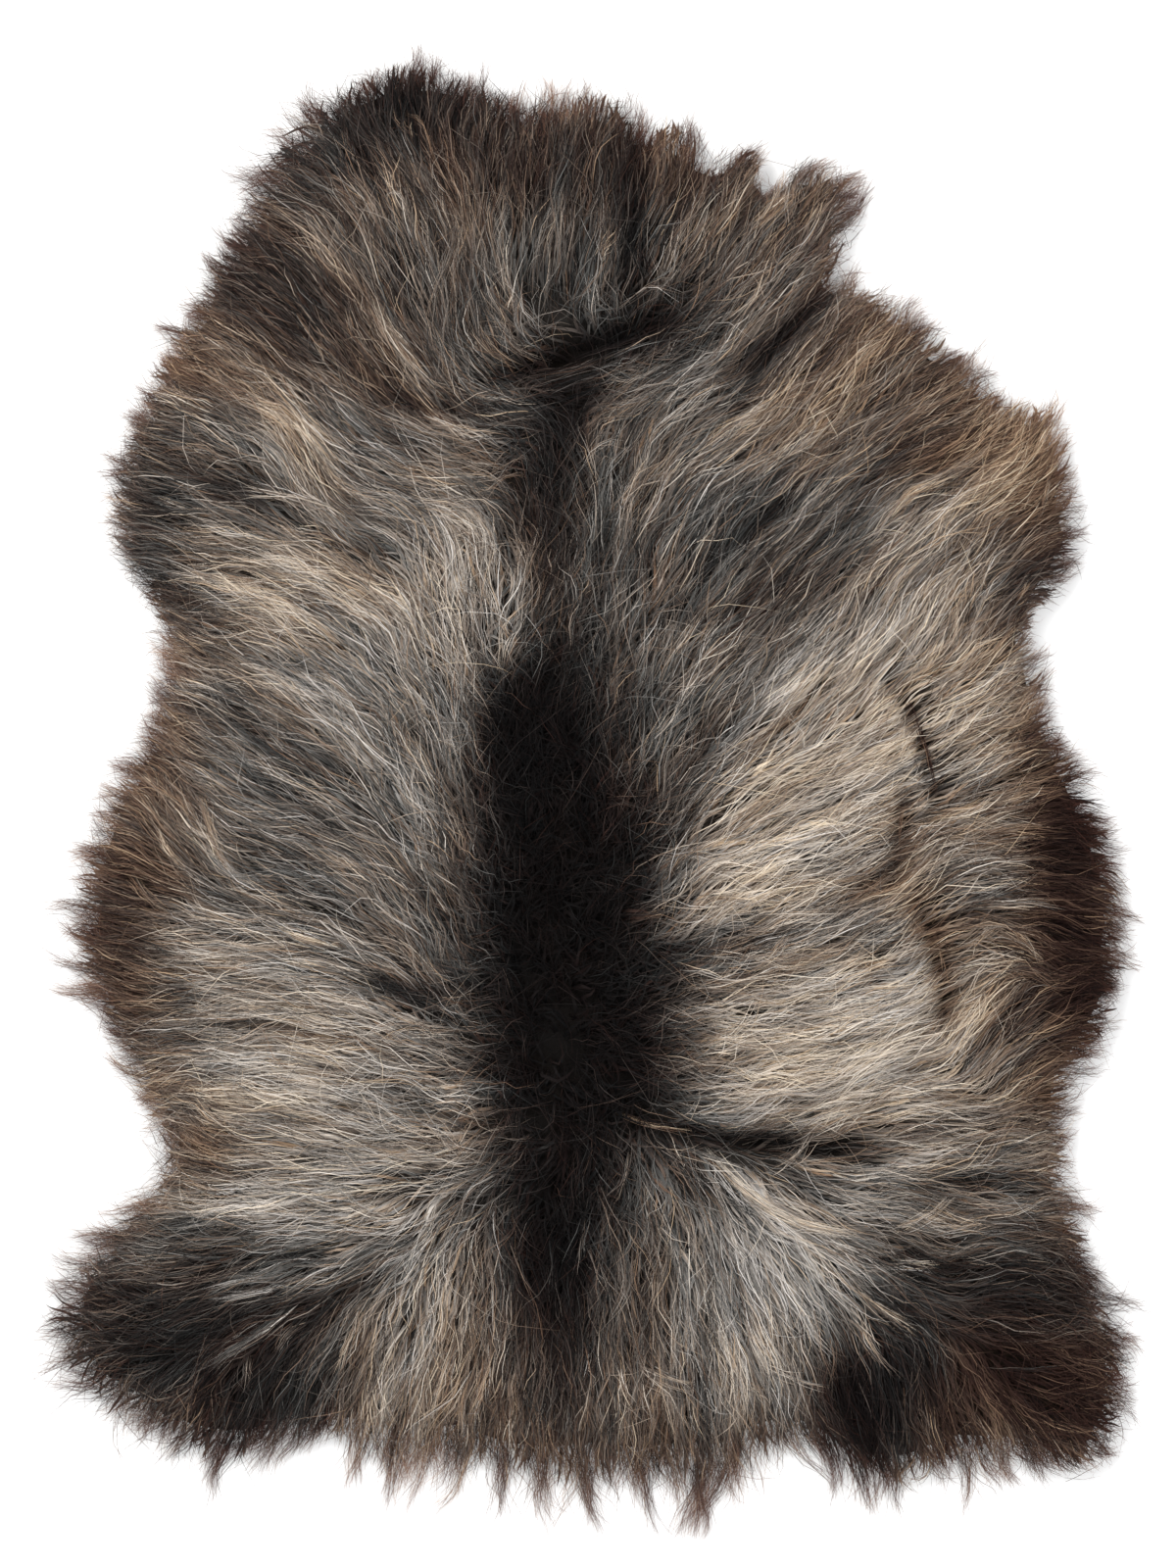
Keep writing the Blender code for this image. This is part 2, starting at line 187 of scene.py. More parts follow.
def lengths_along(line):
    """How far along a line each of its points is."""
    steps = np.linalg.norm(np.diff(line, axis=0), axis=1)
    return np.concatenate([[0.0], np.cumsum(steps)])


def closed_curve(rows):
    """A smooth closed curve through every row, with the rows' other values carried along."""
    t = (np.arange(CURVE_STEPS) / CURVE_STEPS)[None, :, None]
    before, here, after, beyond = (np.roll(rows, k, axis=0)[:, None, :] for k in (1, 0, -1, -2))
    curve = 2 * here + (after - before) * t
    curve = curve + (2 * before - 5 * here + 4 * after - beyond) * t**2
    curve = curve + (3 * here - before - 3 * after + beyond) * t**3
    return (curve / 2).reshape(-1, rows.shape[1])


def spaced(curve, count):
    """The curve's rows at even lengths along it."""
    closed = np.vstack([curve, curve[:1]])
    lengths = lengths_along(closed[:, :2])
    wanted = np.arange(count) / count * lengths[-1]
    return np.stack([np.interp(wanted, lengths, column) for column in closed.T], axis=1)


def inside(points, ring):
    """Whether each point is inside the ring, by the sides that it looks across."""
    crossings = np.zeros(len(points), dtype=int)
    for (x1, y1), (x2, y2) in zip(ring, np.roll(ring, -1, axis=0)):
        spans = (y1 > points[:, 1]) != (y2 > points[:, 1])
        if spans.any():
            crossings += spans & (points[:, 0] < x1 + (points[:, 1] - y1) * (x2 - x1) / (y2 - y1))
    return crossings % 2 == 1


def filled(ring, spacing):
    """Points and triangles of a flat shape: its ring first, then an even grid inside it."""
    low, high = ring.min(axis=0), ring.max(axis=0)
    across = np.arange(low[0] + spacing / 2, high[0], spacing)
    upward = np.arange(low[1] + spacing / 2, high[1], spacing * math.sqrt(3) / 2)
    grid = np.stack(np.meshgrid(across, upward), axis=-1)
    grid[1::2, :, 0] += spacing / 2
    grid = grid.reshape(-1, 2)
    margins = [ring + 0.6 * spacing * way for way in headings(np.arange(0, 360, 60))]
    crowded = np.zeros(len(grid), dtype=bool)
    for x, y in np.vstack([ring, *margins]):
        crowded |= (grid[:, 0] - x) ** 2 + (grid[:, 1] - y) ** 2 < (0.35 * spacing) ** 2
    grid = grid[inside(grid, ring) & ~crowded]
    corners = np.vstack([ring, grid])
    sides = [(i, (i + 1) % len(ring)) for i in range(len(ring))]
    triangles = delaunay_2d_cdt([tuple(p) for p in corners], sides, [], 1, 1e-7)[2]
    return corners, [tuple(face) for face in triangles]


rim_rows = np.array([row[:3] for row in RIM]) / MILLIMETRES
rim_rows[:, :2] -= TABLE_MIDDLE
rim_curve = closed_curve(np.hstack([rim_rows, headings([row[3] for row in RIM])]))
rim = spaced(rim_curve, RIM_POINTS)
rim_line = rim[:, :2]

smooth_rim = evened(rim_line, HIDE_SMOOTHING)
inward = -left_of(unit(np.roll(smooth_rim, -1, axis=0) - np.roll(smooth_rim, 1, axis=0)))
hide_line = spaced(smooth_rim + HIDE_INSET * inward, HIDE_POINTS)


class Shade:
    """A node's output in one material, so that shader maths reads as plain Python."""

    def __init__(self, tree, socket=None):
        self.tree, self.socket = tree, socket

    def node(self, kind, settings, inputs, output=0):
        made = self.tree.nodes.new(kind)
        for name, value in settings.items():
            if name == "stops":
                stops = made.color_ramp.elements
                while len(stops) < len(value):
                    stops.new(1.0)
                for stop, (place, colour) in zip(stops, value):
                    stop.position = place
                    stop.color = (*colour, 1.0)
            else:
                setattr(made, name, value)
        for name, value in inputs.items():
            if isinstance(value, Shade):
                self.tree.links.new(value.socket, made.inputs[name])
            else:
                made.inputs[name].default_value = value
        return Shade(self.tree, made.outputs[output])

    def maths(self, operation, first, second):
        return self.node("ShaderNodeMath", {"operation": operation}, {0: first, 1: second})

    def __add__(self, other):
        return self.maths("ADD", self, other)

    def __sub__(self, other):
        return self.maths("SUBTRACT", self, other)

    def __rsub__(self, other):
        return self.maths("SUBTRACT", other, self)

    def __mul__(self, other):
        return self.maths("MULTIPLY", self, other)

    def __pow__(self, other):
        return self.maths("POWER", self, other)

    __radd__, __rmul__ = __add__, __mul__

    def feeds(self, shader, name):
        self.tree.links.new(self.socket, shader.inputs[name])

    def bump(self, strength, distance):
        inputs = {"Strength": strength, "Distance": distance, "Height": self}
        return self.node("ShaderNodeBump", {}, inputs)

    def clamped(self):
        return self.node("ShaderNodeClamp", {}, {"Value": self})

    def attribute(self, name):
        return self.node("ShaderNodeAttribute", {"attribute_name": name}, {}, 2)

    def noise(self, scale, detail, roughness=0.5, where=None):
        inputs = {"Scale": scale, "Detail": detail, "Roughness": roughness}
        if where is not None:
            inputs["Vector"] = where
        return self.node("ShaderNodeTexNoise", {}, inputs)

    def mixed(self, share, first, second, blend="MIX"):
        settings = {"data_type": "RGBA", "blend_type": blend}
        return self.node("ShaderNodeMix", settings, {0: share, 6: first, 7: second}, 2)


def new_finish(name):
    """A material with only its Principled shader and output, and the way in to its nodes."""
    finish = bpy.data.materials.new(name)
    finish.use_nodes = True
    return finish, finish.node_tree.nodes["Principled BSDF"], Shade(finish.node_tree)


def placed(mesh, finish):
    """The mesh, smooth and finished, as an object that stands for part of the sheepskin."""
    mesh.shade_smooth()
    mesh.materials.append(finish)
    piece = bpy.data.objects.new(mesh.name, mesh)
    stage.collection.objects.link(piece)
    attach(piece, "root")
    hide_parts("sheepskin")
    return piece


def new_piece(name, corners, faces, finish):
    mesh = bpy.data.meshes.new(name)
    mesh.from_pydata(corners, [], faces)
    return placed(mesh, finish)


suede, suede_shader, shade = new_finish("tanned hide")
place = shade.node("ShaderNodeNewGeometry", {}, {}, 0)
cloudy = shade.noise(9.0, 3.0, 0.55, place)
nap = shade.noise(900.0, 2.0, 0.6, place)
veins = shade.noise(42.0, 4.0, 0.65, place)
tan = shade.mixed(cloudy, (0.62, 0.50, 0.36, 1.0), (0.80, 0.70, 0.56, 1.0))
tan = shade.mixed((1 - veins) * 0.5, tan, (0.52, 0.40, 0.28, 1.0))
tan = shade.mixed(nap * 0.22, tan, (0.93, 0.87, 0.77, 1.0))
tan.feeds(suede_shader, "Base Color")
(0.82 + nap * 0.14).feeds(suede_shader, "Roughness")
(nap * 0.6 + veins * 0.4).bump(0.35, 0.0006).feeds(suede_shader, "Normal")
suede_shader.inputs["Specular IOR Level"].default_value = 0.25

flat_corners, flat_faces = filled(hide_line, HIDE_SPACING)
hide_low = np.full(len(flat_corners), HIDE_LIFT)
hide_high = hide_low + HIDE_THICKNESS
hide_corners = np.vstack([np.column_stack([flat_corners, z]) for z in (hide_high, hide_low)])
below = len(flat_corners)
hide_faces = flat_faces + [tuple(i + below for i in reversed(face)) for face in flat_faces]
for i in range(HIDE_POINTS):
    k = (i + 1) % HIDE_POINTS
    hide_faces.append((i, k, k + below, i + below))
hide = new_piece("hide", hide_corners.tolist(), hide_faces, suede)
bm = bmesh.new()
bm.from_mesh(hide.data)
bmesh.ops.recalc_face_normals(bm, faces=bm.faces)
bm.to_mesh(hide.data)
bm.free()
hide.data.set_sharp_from_angle(angle=math.radians(HIDE_SHARP))

# The underwool: the dense short mat at the roots, dark and felted, that fills the fleece between
# the hide and the combed locks; its near-black colour is partly the wool's own and partly painted
# shade, the deep shadow between the strands. Its top follows the lay of the solid, a little below
# the surface.
STEP = 0.004  # between places of every map of the fleece
EAST = np.arange(-0.468, 0.4681, STEP)
NORTH = np.arange(-0.600, 0.6001, STEP)
RIM_DEPTH = 0.013
DROOP = 0.012  # over which the wool comes down to the floor, past the rim
FLOOR_CLEARANCE = 0.0012
LAY_SMOOTHING = 5
UNDERWOOL_SPACING = 0.0095
UNDERWOOL_DROP = 0.0075
UNDERWOOL_INSET = 0.0070
UNDERWOOL_RAGGED = 0.004
UNDERWOOL_SMOOTHING = 5
UNDERWOOL_GRAIN = 0.0035
UNDERWOOL_LEAST = 0.0045
UNDERSIDE = 0.0022
UNDERSIDE_SPACING = 0.05
# Partings pressed into the wool: from x, y to x, y, half width, depth, how dark (painted shade in
# the trough).
PARTINGS = (
    (-70, 291, -14, 305, 6, 6, 0.6), (-14, 305, 60, 328, 7, 6, 0.8), (36, 462, 32, 345, 7, 5, 0.4),
    (118, 298, 168, 347, 6, 5, 0.55), (-150, 276, -78, 266, 5, 5, 0.5),
    (36, -242, 110, -257, 6, 8, 0.6), (110, -257, 196, -261, 4.5, 8, 0.6),
    (122, -274, 160, -288, 4, 5, 0.4), (220, 70, 239, 28, 3.5, 8, 0.7),
    (239, 28, 251, -18, 3.5, 8, 0.7), (226, -6, 218, -66, 3.5, 6, 0.5),
    (234, -84, 250, -120, 4, 6, 0.5), (250, -120, 256, -170, 4.5, 6, 0.5),
    (-290, -338, -190, -336, 6, 5, 0.4), (230, -338, 262, -352, 6, 5, 0.45),
    (-60, 260, -55, 180, 8, 3, 0.35), (100, 166, 140, 200, 3.5, 4, 0.45),
    (124, 152, 172, 196, 3, 3, 0.4), (110, 128, 140, 150, 3, 3, 0.4),
    (160, 170, 206, 212, 3, 3, 0.35), (60, 296, 104, 330, 3, 3, 0.35),
    (100, 268, 126, 288, 3, 3, 0.35), (-236, 34, -250, 52, 4, 3, 0.35),
    (70, -122, 150, -104, 3, 4, 0.4), (190, -72, 214, -60, 3.5, 4, 0.45),
    (-105, -150, -160, -140, 3.5, 4, 0.4), (40, 118, 110, 124, 3.5, 3, 0.3),
)

map_places = np.stack(np.meshgrid(EAST, NORTH), axis=-1)
flat_places = map_places.reshape(-1, 2)
map_shape = map_places.shape[:2]


def four_blended(field, i, j, u, v):
    """What a grid holds between four of its places, from how far in it is each way."""
    near = field[i, j] * (1 - u) + field[i, j + 1] * u
    far = field[i + 1, j] * (1 - u) + field[i + 1, j + 1] * u
    return near * (1 - v) + far * v


def read(field, points):
    """A map's value at points, drawn between its four nearest places."""
    column = np.clip((points[..., 0] - EAST[0]) / STEP, 0, len(EAST) - 1.001)
    row = np.clip((points[..., 1] - NORTH[0]) / STEP, 0, len(NORTH) - 1.001)
    i, j = row.astype(int), column.astype(int)
    v, u = row - i, column - j
    if field.ndim == 3:
        u, v = u[..., None], v[..., None]
    return four_blended(field, i, j, u, v)


def softened(field, passes):
    """A map blurred a little, pass by pass."""
    for _pass in range(passes):
        field = (np.roll(field, 1, 0) + 2 * field + np.roll(field, -1, 0)) / 4
        field = (np.roll(field, 1, 1) + 2 * field + np.roll(field, -1, 1)) / 4
    return field


def blotches(seed, size):
    """Soft random blotches of about one size, from -1 to 1, as a map of the fleece."""
    rows, columns = (NORTH - NORTH[0]) / size, (EAST - EAST[0]) / size
    shape = (int(rows[-1]) + 3, int(columns[-1]) + 3)
    drawn = np.random.default_rng(seed).uniform(-1, 1, shape)
    i, j = rows.astype(int)[:, None], columns.astype(int)[None, :]
    v, u = (rows % 1)[:, None], (columns % 1)[None, :]
    return four_blended(drawn, i, j, u * u * (3 - 2 * u), v * v * (3 - 2 * v))


def from_segment(points, start, end):
    """How far each point is from a straight stretch."""
    start, end = np.array(start), np.array(end)
    along = end - start
    share = np.clip((points - start) @ along / max(along @ along, TINY), 0, 1)
    return np.linalg.norm(points - start - share[:, None] * along, axis=1)


away = np.full(len(flat_places), 9.0)
for start, end in zip(rim_line, np.roll(rim_line, -1, axis=0)):
    away = np.minimum(away, from_segment(flat_places, start, end))
within = inside(flat_places, rim_line)
past_rim = np.where(within, -away, away).reshape(map_shape)
nearest = np.zeros(len(flat_places), dtype=int)
closest = np.full(len(flat_places), 9.0)
for i in range(0, RIM_POINTS, 2):
    gap = np.linalg.norm(flat_places - rim_line[i], axis=1)
    nearest = np.where(gap < closest, i, nearest)
    closest = np.minimum(gap, closest)
reach = rim[nearest, 2].reshape(map_shape)
rim_way = unit(rim[nearest, 3:5])

solid_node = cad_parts["sheepskin"]
solid = BVHTree.FromPolygons(
    [solid_node.matrix_world @ corner.co for corner in solid_node.data.vertices],
    [tuple(face.vertices) for face in solid_node.data.polygons],
)
lay = np.full(len(flat_places), RIM_DEPTH)
for i in np.flatnonzero(within):
    hit = solid.ray_cast(Vector((flat_places[i, 0], flat_places[i, 1], 1.0)), Vector((0, 0, -1)))
    if hit[0] is not None:
        lay[i] = hit[0].z
lay = softened(lay.reshape(map_shape), LAY_SMOOTHING)
# Painted shade: how dark each parting's trough is painted, kept for the wool's tones.
parting_painted_shade = np.zeros(len(flat_places))
for *lengths, painted_darkness in PARTINGS:
    x1, y1, x2, y2, half_width, depth = np.array(lengths) / MILLIMETRES
    gap = from_segment(flat_places, (x1, y1) - TABLE_MIDDLE, (x2, y2) - TABLE_MIDDLE)
    trough = np.exp(-((gap / half_width) ** 2) / 2)
    lay -= (depth * trough).reshape(map_shape)
    parting_painted_shade = np.maximum(parting_painted_shade, painted_darkness * trough)
parting_painted_shade = parting_painted_shade.reshape(map_shape)
droop = np.exp(-np.maximum(past_rim, 0) / DROOP)
lay = np.maximum(lay * droop, 0) + FLOOR_CLEARANCE * (1 - droop)

under_inset = UNDERWOOL_INSET + UNDERWOOL_RAGGED * read(blotches(5, 0.011), rim_line)[:, None]
under_line = evened(rim_line, UNDERWOOL_SMOOTHING) + under_inset * inward
under_line = spaced(under_line, RIM_POINTS // 2)
top_points, top_faces = filled(under_line, UNDERWOOL_SPACING)
grain = read(blotches(3, 0.009) + 0.6 * blotches(4, 0.005), top_points)
top_heights = read(lay, top_points) - UNDERWOOL_DROP + UNDERWOOL_GRAIN * grain
count = len(under_line)
top_heights = np.maximum(top_heights, UNDERWOOL_LEAST)
top_heights[:count] = UNDERWOOL_LEAST
low_points, low_faces = filled(under_line, UNDERSIDE_SPACING)
under_corners = [*map(tuple, np.column_stack([top_points, top_heights]))]
under_corners += [(x, y, UNDERSIDE) for x, y in low_points]
first = len(top_points)
under_faces = top_faces + [tuple(i + first for i in reversed(face)) for face in low_faces]
under_faces += [(k, i, i + first, k + first) for i, k in zip(range(count), [*range(1, count), 0])]

felt, felt_shader, shade = new_finish("underwool")
place = shade.node("ShaderNodeNewGeometry", {}, {}, 0)
matted = shade.noise(260.0, 3.0, 0.6, place)
tufts = shade.noise(70.0, 3.0, 0.6, place)
tone = shade.attribute("light")
warmth = shade.attribute("warm")
# The felt is kept near black: partly its own dark colour and partly painted shade, the deep shadow
# between the strands.
deep = shade.mixed(warmth, (0.006, 0.0055, 0.0055, 1.0), (0.011, 0.0075, 0.0055, 1.0))
lit = shade.mixed(warmth, (0.070, 0.064, 0.060, 1.0), (0.090, 0.066, 0.046, 1.0))
felt_colour_and_shade = shade.mixed((tone * (0.35 + matted * 0.9) * (0.5 + tufts * 0.8)).clamped(), deep, lit)
felt_colour_and_shade.feeds(felt_shader, "Base Color")
(0.8 + matted * 0.15).feeds(felt_shader, "Roughness")
(matted * 0.6 + tufts).bump(0.8, 0.003).feeds(felt_shader, "Normal")
felt_shader.inputs["Specular IOR Level"].default_value = 0.05
underwool = new_piece("underwool", under_corners, under_faces, felt)

# The shading of the skin, as its wool grew: the palette's tones are light or dark, cool or warm,
# and each patch is laid over those before it, as a dyer's sketch would be.
PALETTE = {
    "black": (-0.08, 0.30),
    "rust": (0.045, 1.55),
    "soot": (0.10, 0.35),
    "charcoal": (0.19, 0.20),
    "umber": (0.27, 0.90),
    "slate": (0.32, 0.15),
    "ash": (0.39, 0.26),
    "taupe": (0.42, 0.65),
    "pewter": (0.50, 0.28),
    "tan": (0.40, 1.45),
    "silver": (0.68, 0.30),
    "steel": (0.77, 0.06),
    "straw": (0.76, 0.78),
    "beige": (0.80, 0.45),
    "cream": (0.92, 0.50),
}
# Each patch: x, y, heading of its length, half length, half width, tone, strength.
# The narrow dark patches along the partings (the soot at 34, 405 and 143, 326 and the black at 18,
# 318 and 130, -256) and the slate at -234, -50 on a fold are painted shade in the creases.
PATCHES = (
    (-60, 380, 0, 100, 55, "ash", 0.9), (-10, 460, 0, 170, 46, "umber", 0.9),
    (-30, 450, 0, 90, 32, "soot", 0.55), (-145, 480, 10, 60, 30, "soot", 0.9),
    (-142, 490, 10, 50, 18, "black", 0.5), (-190, 450, 50, 50, 30, "charcoal", 0.8),
    (-100, 425, 110, 40, 20, "taupe", 0.5), (34, 405, 93, 80, 11, "soot", 0.85),
    (60, 450, 90, 30, 22, "umber", 0.6), (110, 390, 50, 60, 40, "taupe", 0.75),
    (150, 430, 50, 40, 20, "taupe", 0.5), (80, 350, 50, 50, 25, "pewter", 0.3),
    (-240, 330, 145, 70, 48, "umber", 0.8), (-225, 350, 140, 60, 30, "soot", 0.22),
    (-148, 318, 122, 55, 28, "umber", 0.68), (-248, 382, 128, 70, 20, "soot", 0.45),
    (-295, 285, 90, 30, 25, "tan", 0.4), (18, 318, 20, 58, 12, "black", 0.95),
    (-10, 270, 70, 28, 17, "black", 0.85), (-30, 215, 90, 68, 24, "soot", 0.9),
    (-28, 228, 90, 50, 18, "black", 0.5), (-28, 182, 90, 26, 14, "black", 0.8),
    (-110, 235, 150, 50, 35, "pewter", 0.6), (-262, 228, 150, 50, 36, "ash", 0.65),
    (-195, 232, 122, 60, 16, "straw", 0.38), (-215, 150, 162, 80, 25, "straw", 0.82),
    (-240, 130, 157, 50, 13, "cream", 0.35), (-280, 130, 155, 28, 9, "charcoal", 0.7),
    (-312, 185, 90, 52, 28, "charcoal", 0.85), (-115, 190, 140, 40, 30, "pewter", 0.5),
    (-80, 130, 90, 55, 44, "beige", 1.0), (-78, 132, 90, 50, 36, "steel", 0.45),
    (-76, 134, 90, 44, 28, "cream", 0.5), (-14, 120, 90, 50, 12, "charcoal", 0.75),
    (35, 190, 80, 60, 30, "pewter", 0.75), (130, 200, 42, 90, 45, "slate", 0.9),
    (120, 186, 44, 50, 9, "soot", 0.4), (168, 290, 50, 80, 40, "pewter", 0.75),
    (165, 288, 50, 60, 24, "straw", 0.4), (185, 275, 55, 55, 20, "straw", 0.62),
    (143, 326, 46, 55, 12, "soot", 0.45), (205, 325, 40, 62, 22, "umber", 0.78),
    (240, 285, 38, 65, 26, "umber", 0.5), (262, 241, 20, 40, 12, "rust", 0.7),
    (310, 238, 50, 50, 36, "tan", 1.0), (322, 232, 60, 40, 24, "tan", 0.7),
    (268, 202, 35, 56, 16, "straw", 0.5), (325, 160, 10, 40, 22, "umber", 0.85),
    (328, 150, 15, 38, 16, "soot", 0.65), (250, 125, 62, 60, 36, "straw", 0.16),
    (305, 124, 100, 30, 13, "charcoal", 0.85), (145, 142, 46, 60, 20, "charcoal", 0.6),
    (75, 85, 40, 60, 35, "pewter", 0.7), (180, 70, 45, 90, 34, "beige", 1.0),
    (182, 70, 45, 50, 22, "cream", 0.2), (265, 40, 32, 55, 42, "straw", 0.82),
    (160, -10, 22, 110, 36, "beige", 0.7), (150, -60, 24, 110, 34, "beige", 1.0),
    (62, -10, 62, 55, 26, "slate", 0.7), (34, -60, 85, 60, 16, "charcoal", 0.8),
    (60, -124, 10, 35, 12, "black", 0.8), (46, -108, 30, 28, 8, "silver", 0.7),
    (130, -112, 12, 70, 14, "pewter", 0.6), (150, -160, 10, 115, 34, "cream", 0.75),
    (185, -208, 16, 95, 30, "cream", 0.9), (100, -235, 14, 60, 14, "silver", 0.6),
    (275, -40, 12, 50, 40, "pewter", 0.6), (295, -110, -15, 40, 22, "taupe", 0.65),
    (254, -142, -82, 34, 7, "tan", 0.8), (241, -100, -64, 26, 6, "tan", 0.8),
    (200, -132, -60, 14, 8, "tan", 0.45), (222, -34, -82, 36, 5, "tan", 0.5),
    (204, -74, -10, 18, 6, "tan", 0.45), (325, 40, 60, 40, 13, "rust", 0.55),
    (342, -30, 80, 50, 20, "rust", 0.8), (350, -90, 90, 75, 26, "rust", 0.9),
    (352, -150, 90, 45, 26, "rust", 0.85), (305, -160, 50, 50, 24, "umber", 0.75),
    (268, -172, 55, 45, 11, "straw", 0.8), (330, -215, 70, 50, 18, "umber", 0.7),
    (255, -228, 12, 50, 20, "straw", 0.6), (130, -256, -8, 80, 7, "black", 0.85),
    (235, -268, 8, 60, 18, "silver", 0.7), (290, -290, 2, 50, 30, "pewter", 0.7),
    (60, -272, -60, 40, 26, "charcoal", 0.7), (64, -345, -85, 75, 46, "pewter", 0.95),
    (145, -325, -48, 75, 24, "steel", 0.9), (128, -382, -70, 65, 42, "steel", 0.95),
    (215, -312, -15, 50, 16, "silver", 0.6), (315, -365, -5, 65, 42, "soot", 0.74),
    (325, -430, -20, 65, 35, "rust", 0.9), (235, -395, -80, 45, 28, "charcoal", 0.85),
    (198, -448, -75, 45, 40, "black", 0.85), (262, -452, -80, 36, 18, "rust", 0.5),
    (30, -425, -90, 40, 45, "taupe", 0.6), (112, -418, -60, 30, 25, "straw", 0.5),
    (30, -466, 0, 110, 20, "umber", 0.3), (54, -345, -85, 55, 30, "slate", 0.35),
    (-24, -360, 90, 80, 24, "soot", 0.85), (-26, -310, 90, 70, 30, "black", 0.9),
    (-118, -380, -102, 80, 34, "beige", 0.72), (-66, -425, -95, 45, 24, "taupe", 0.7),
    (-155, -435, -98, 40, 14, "straw", 0.5), (-230, -385, -145, 75, 28, "charcoal", 0.85),
    (-215, -356, -160, 60, 9, "silver", 0.5), (-305, -390, 185, 80, 50, "soot", 0.95),
    (-250, -440, -120, 50, 30, "soot", 0.9), (-200, -440, -110, 30, 22, "charcoal", 0.8),
    (-210, -303, 185, 95, 32, "steel", 0.79), (-285, -325, 190, 45, 14, "charcoal", 0.6),
    (-190, -170, 172, 110, 55, "silver", 0.9), (-190, -165, 172, 70, 24, "straw", 0.45),
    (-180, -235, 174, 110, 36, "beige", 0.58), (-255, -115, 175, 70, 20, "silver", 0.6),
    (-128, -148, 152, 40, 14, "charcoal", 0.6), (-240, 35, 142, 70, 28, "slate", 0.6),
    (-145, 50, 132, 70, 40, "silver", 0.66), (-215, 80, 150, 60, 18, "silver", 0.6),
    (-280, 95, 155, 35, 22, "taupe", 0.7), (-180, -20, 138, 60, 30, "pewter", 0.6),
    (-234, -50, 95, 35, 12, "slate", 0.6), (-300, 40, 90, 45, 18, "umber", 0.6),
    (-320, -30, 115, 55, 30, "taupe", 0.95), (-322, -30, 115, 50, 22, "umber", 0.4),
    (-338, -98, 90, 50, 24, "umber", 0.95), (-292, -158, 70, 14, 10, "charcoal", 0.6),
    (-291, -233, 140, 14, 9, "charcoal", 0.6), (-248, 206, 155, 34, 14, "charcoal", 0.7),
    (-338, -140, 85, 44, 26, "umber", 0.9), (-342, -142, 85, 40, 16, "soot", 0.28),
    (-312, -215, 60, 45, 14, "taupe", 0.6), (-272, -255, 70, 28, 14, "tan", 0.45),
    (-20, -110, 90, 185, 60, "black", 1.0), (-42, 35, 90, 55, 32, "black", 0.95),
    (20, -200, 60, 60, 40, "black", 0.8),
)
RIM_TONE = "umber"
RIM_TONE_WIDTH = 0.016
RIM_TONE_STRENGTH = 0.80


def patch_share(x, y, heading, half_length, half_width, strength):
    """How much of a soft oval patch there is at each place of the map."""
    x, y, half_length, half_width = np.array((x, y, half_length, half_width)) / MILLIMETRES
    offset = flat_places + TABLE_MIDDLE - (x, y)
    lengthways = headings(heading)
    sideways = left_of(lengthways)
    far = (offset @ lengthways / half_length) ** 2 + (offset @ sideways / half_width) ** 2
    return strength / (1 + far**2)


tones = np.empty((len(flat_places), 2))
tones[:] = PALETTE["pewter"]
edge_share = RIM_TONE_STRENGTH * np.exp(np.minimum(past_rim.reshape(-1), 0) / RIM_TONE_WIDTH)
tones += edge_share[:, None] * (np.array(PALETTE[RIM_TONE]) - tones)
for *oval, tone_name, strength in PATCHES:
    share = patch_share(*oval, strength)[:, None]
    tones += share * (np.array(PALETTE[tone_name]) - tones)
tones = softened(tones.reshape(*map_shape, 2), 2)


def set_values(mesh, **values):
    """Named numbers, one for each corner point of a mesh, for its finish to read."""
    for name, numbers in values.items():
        layer = mesh.attributes.new(name, "FLOAT", "POINT")
        layer.data.foreach_set("value", np.ascontiguousarray(numbers, dtype=np.float32).ravel())


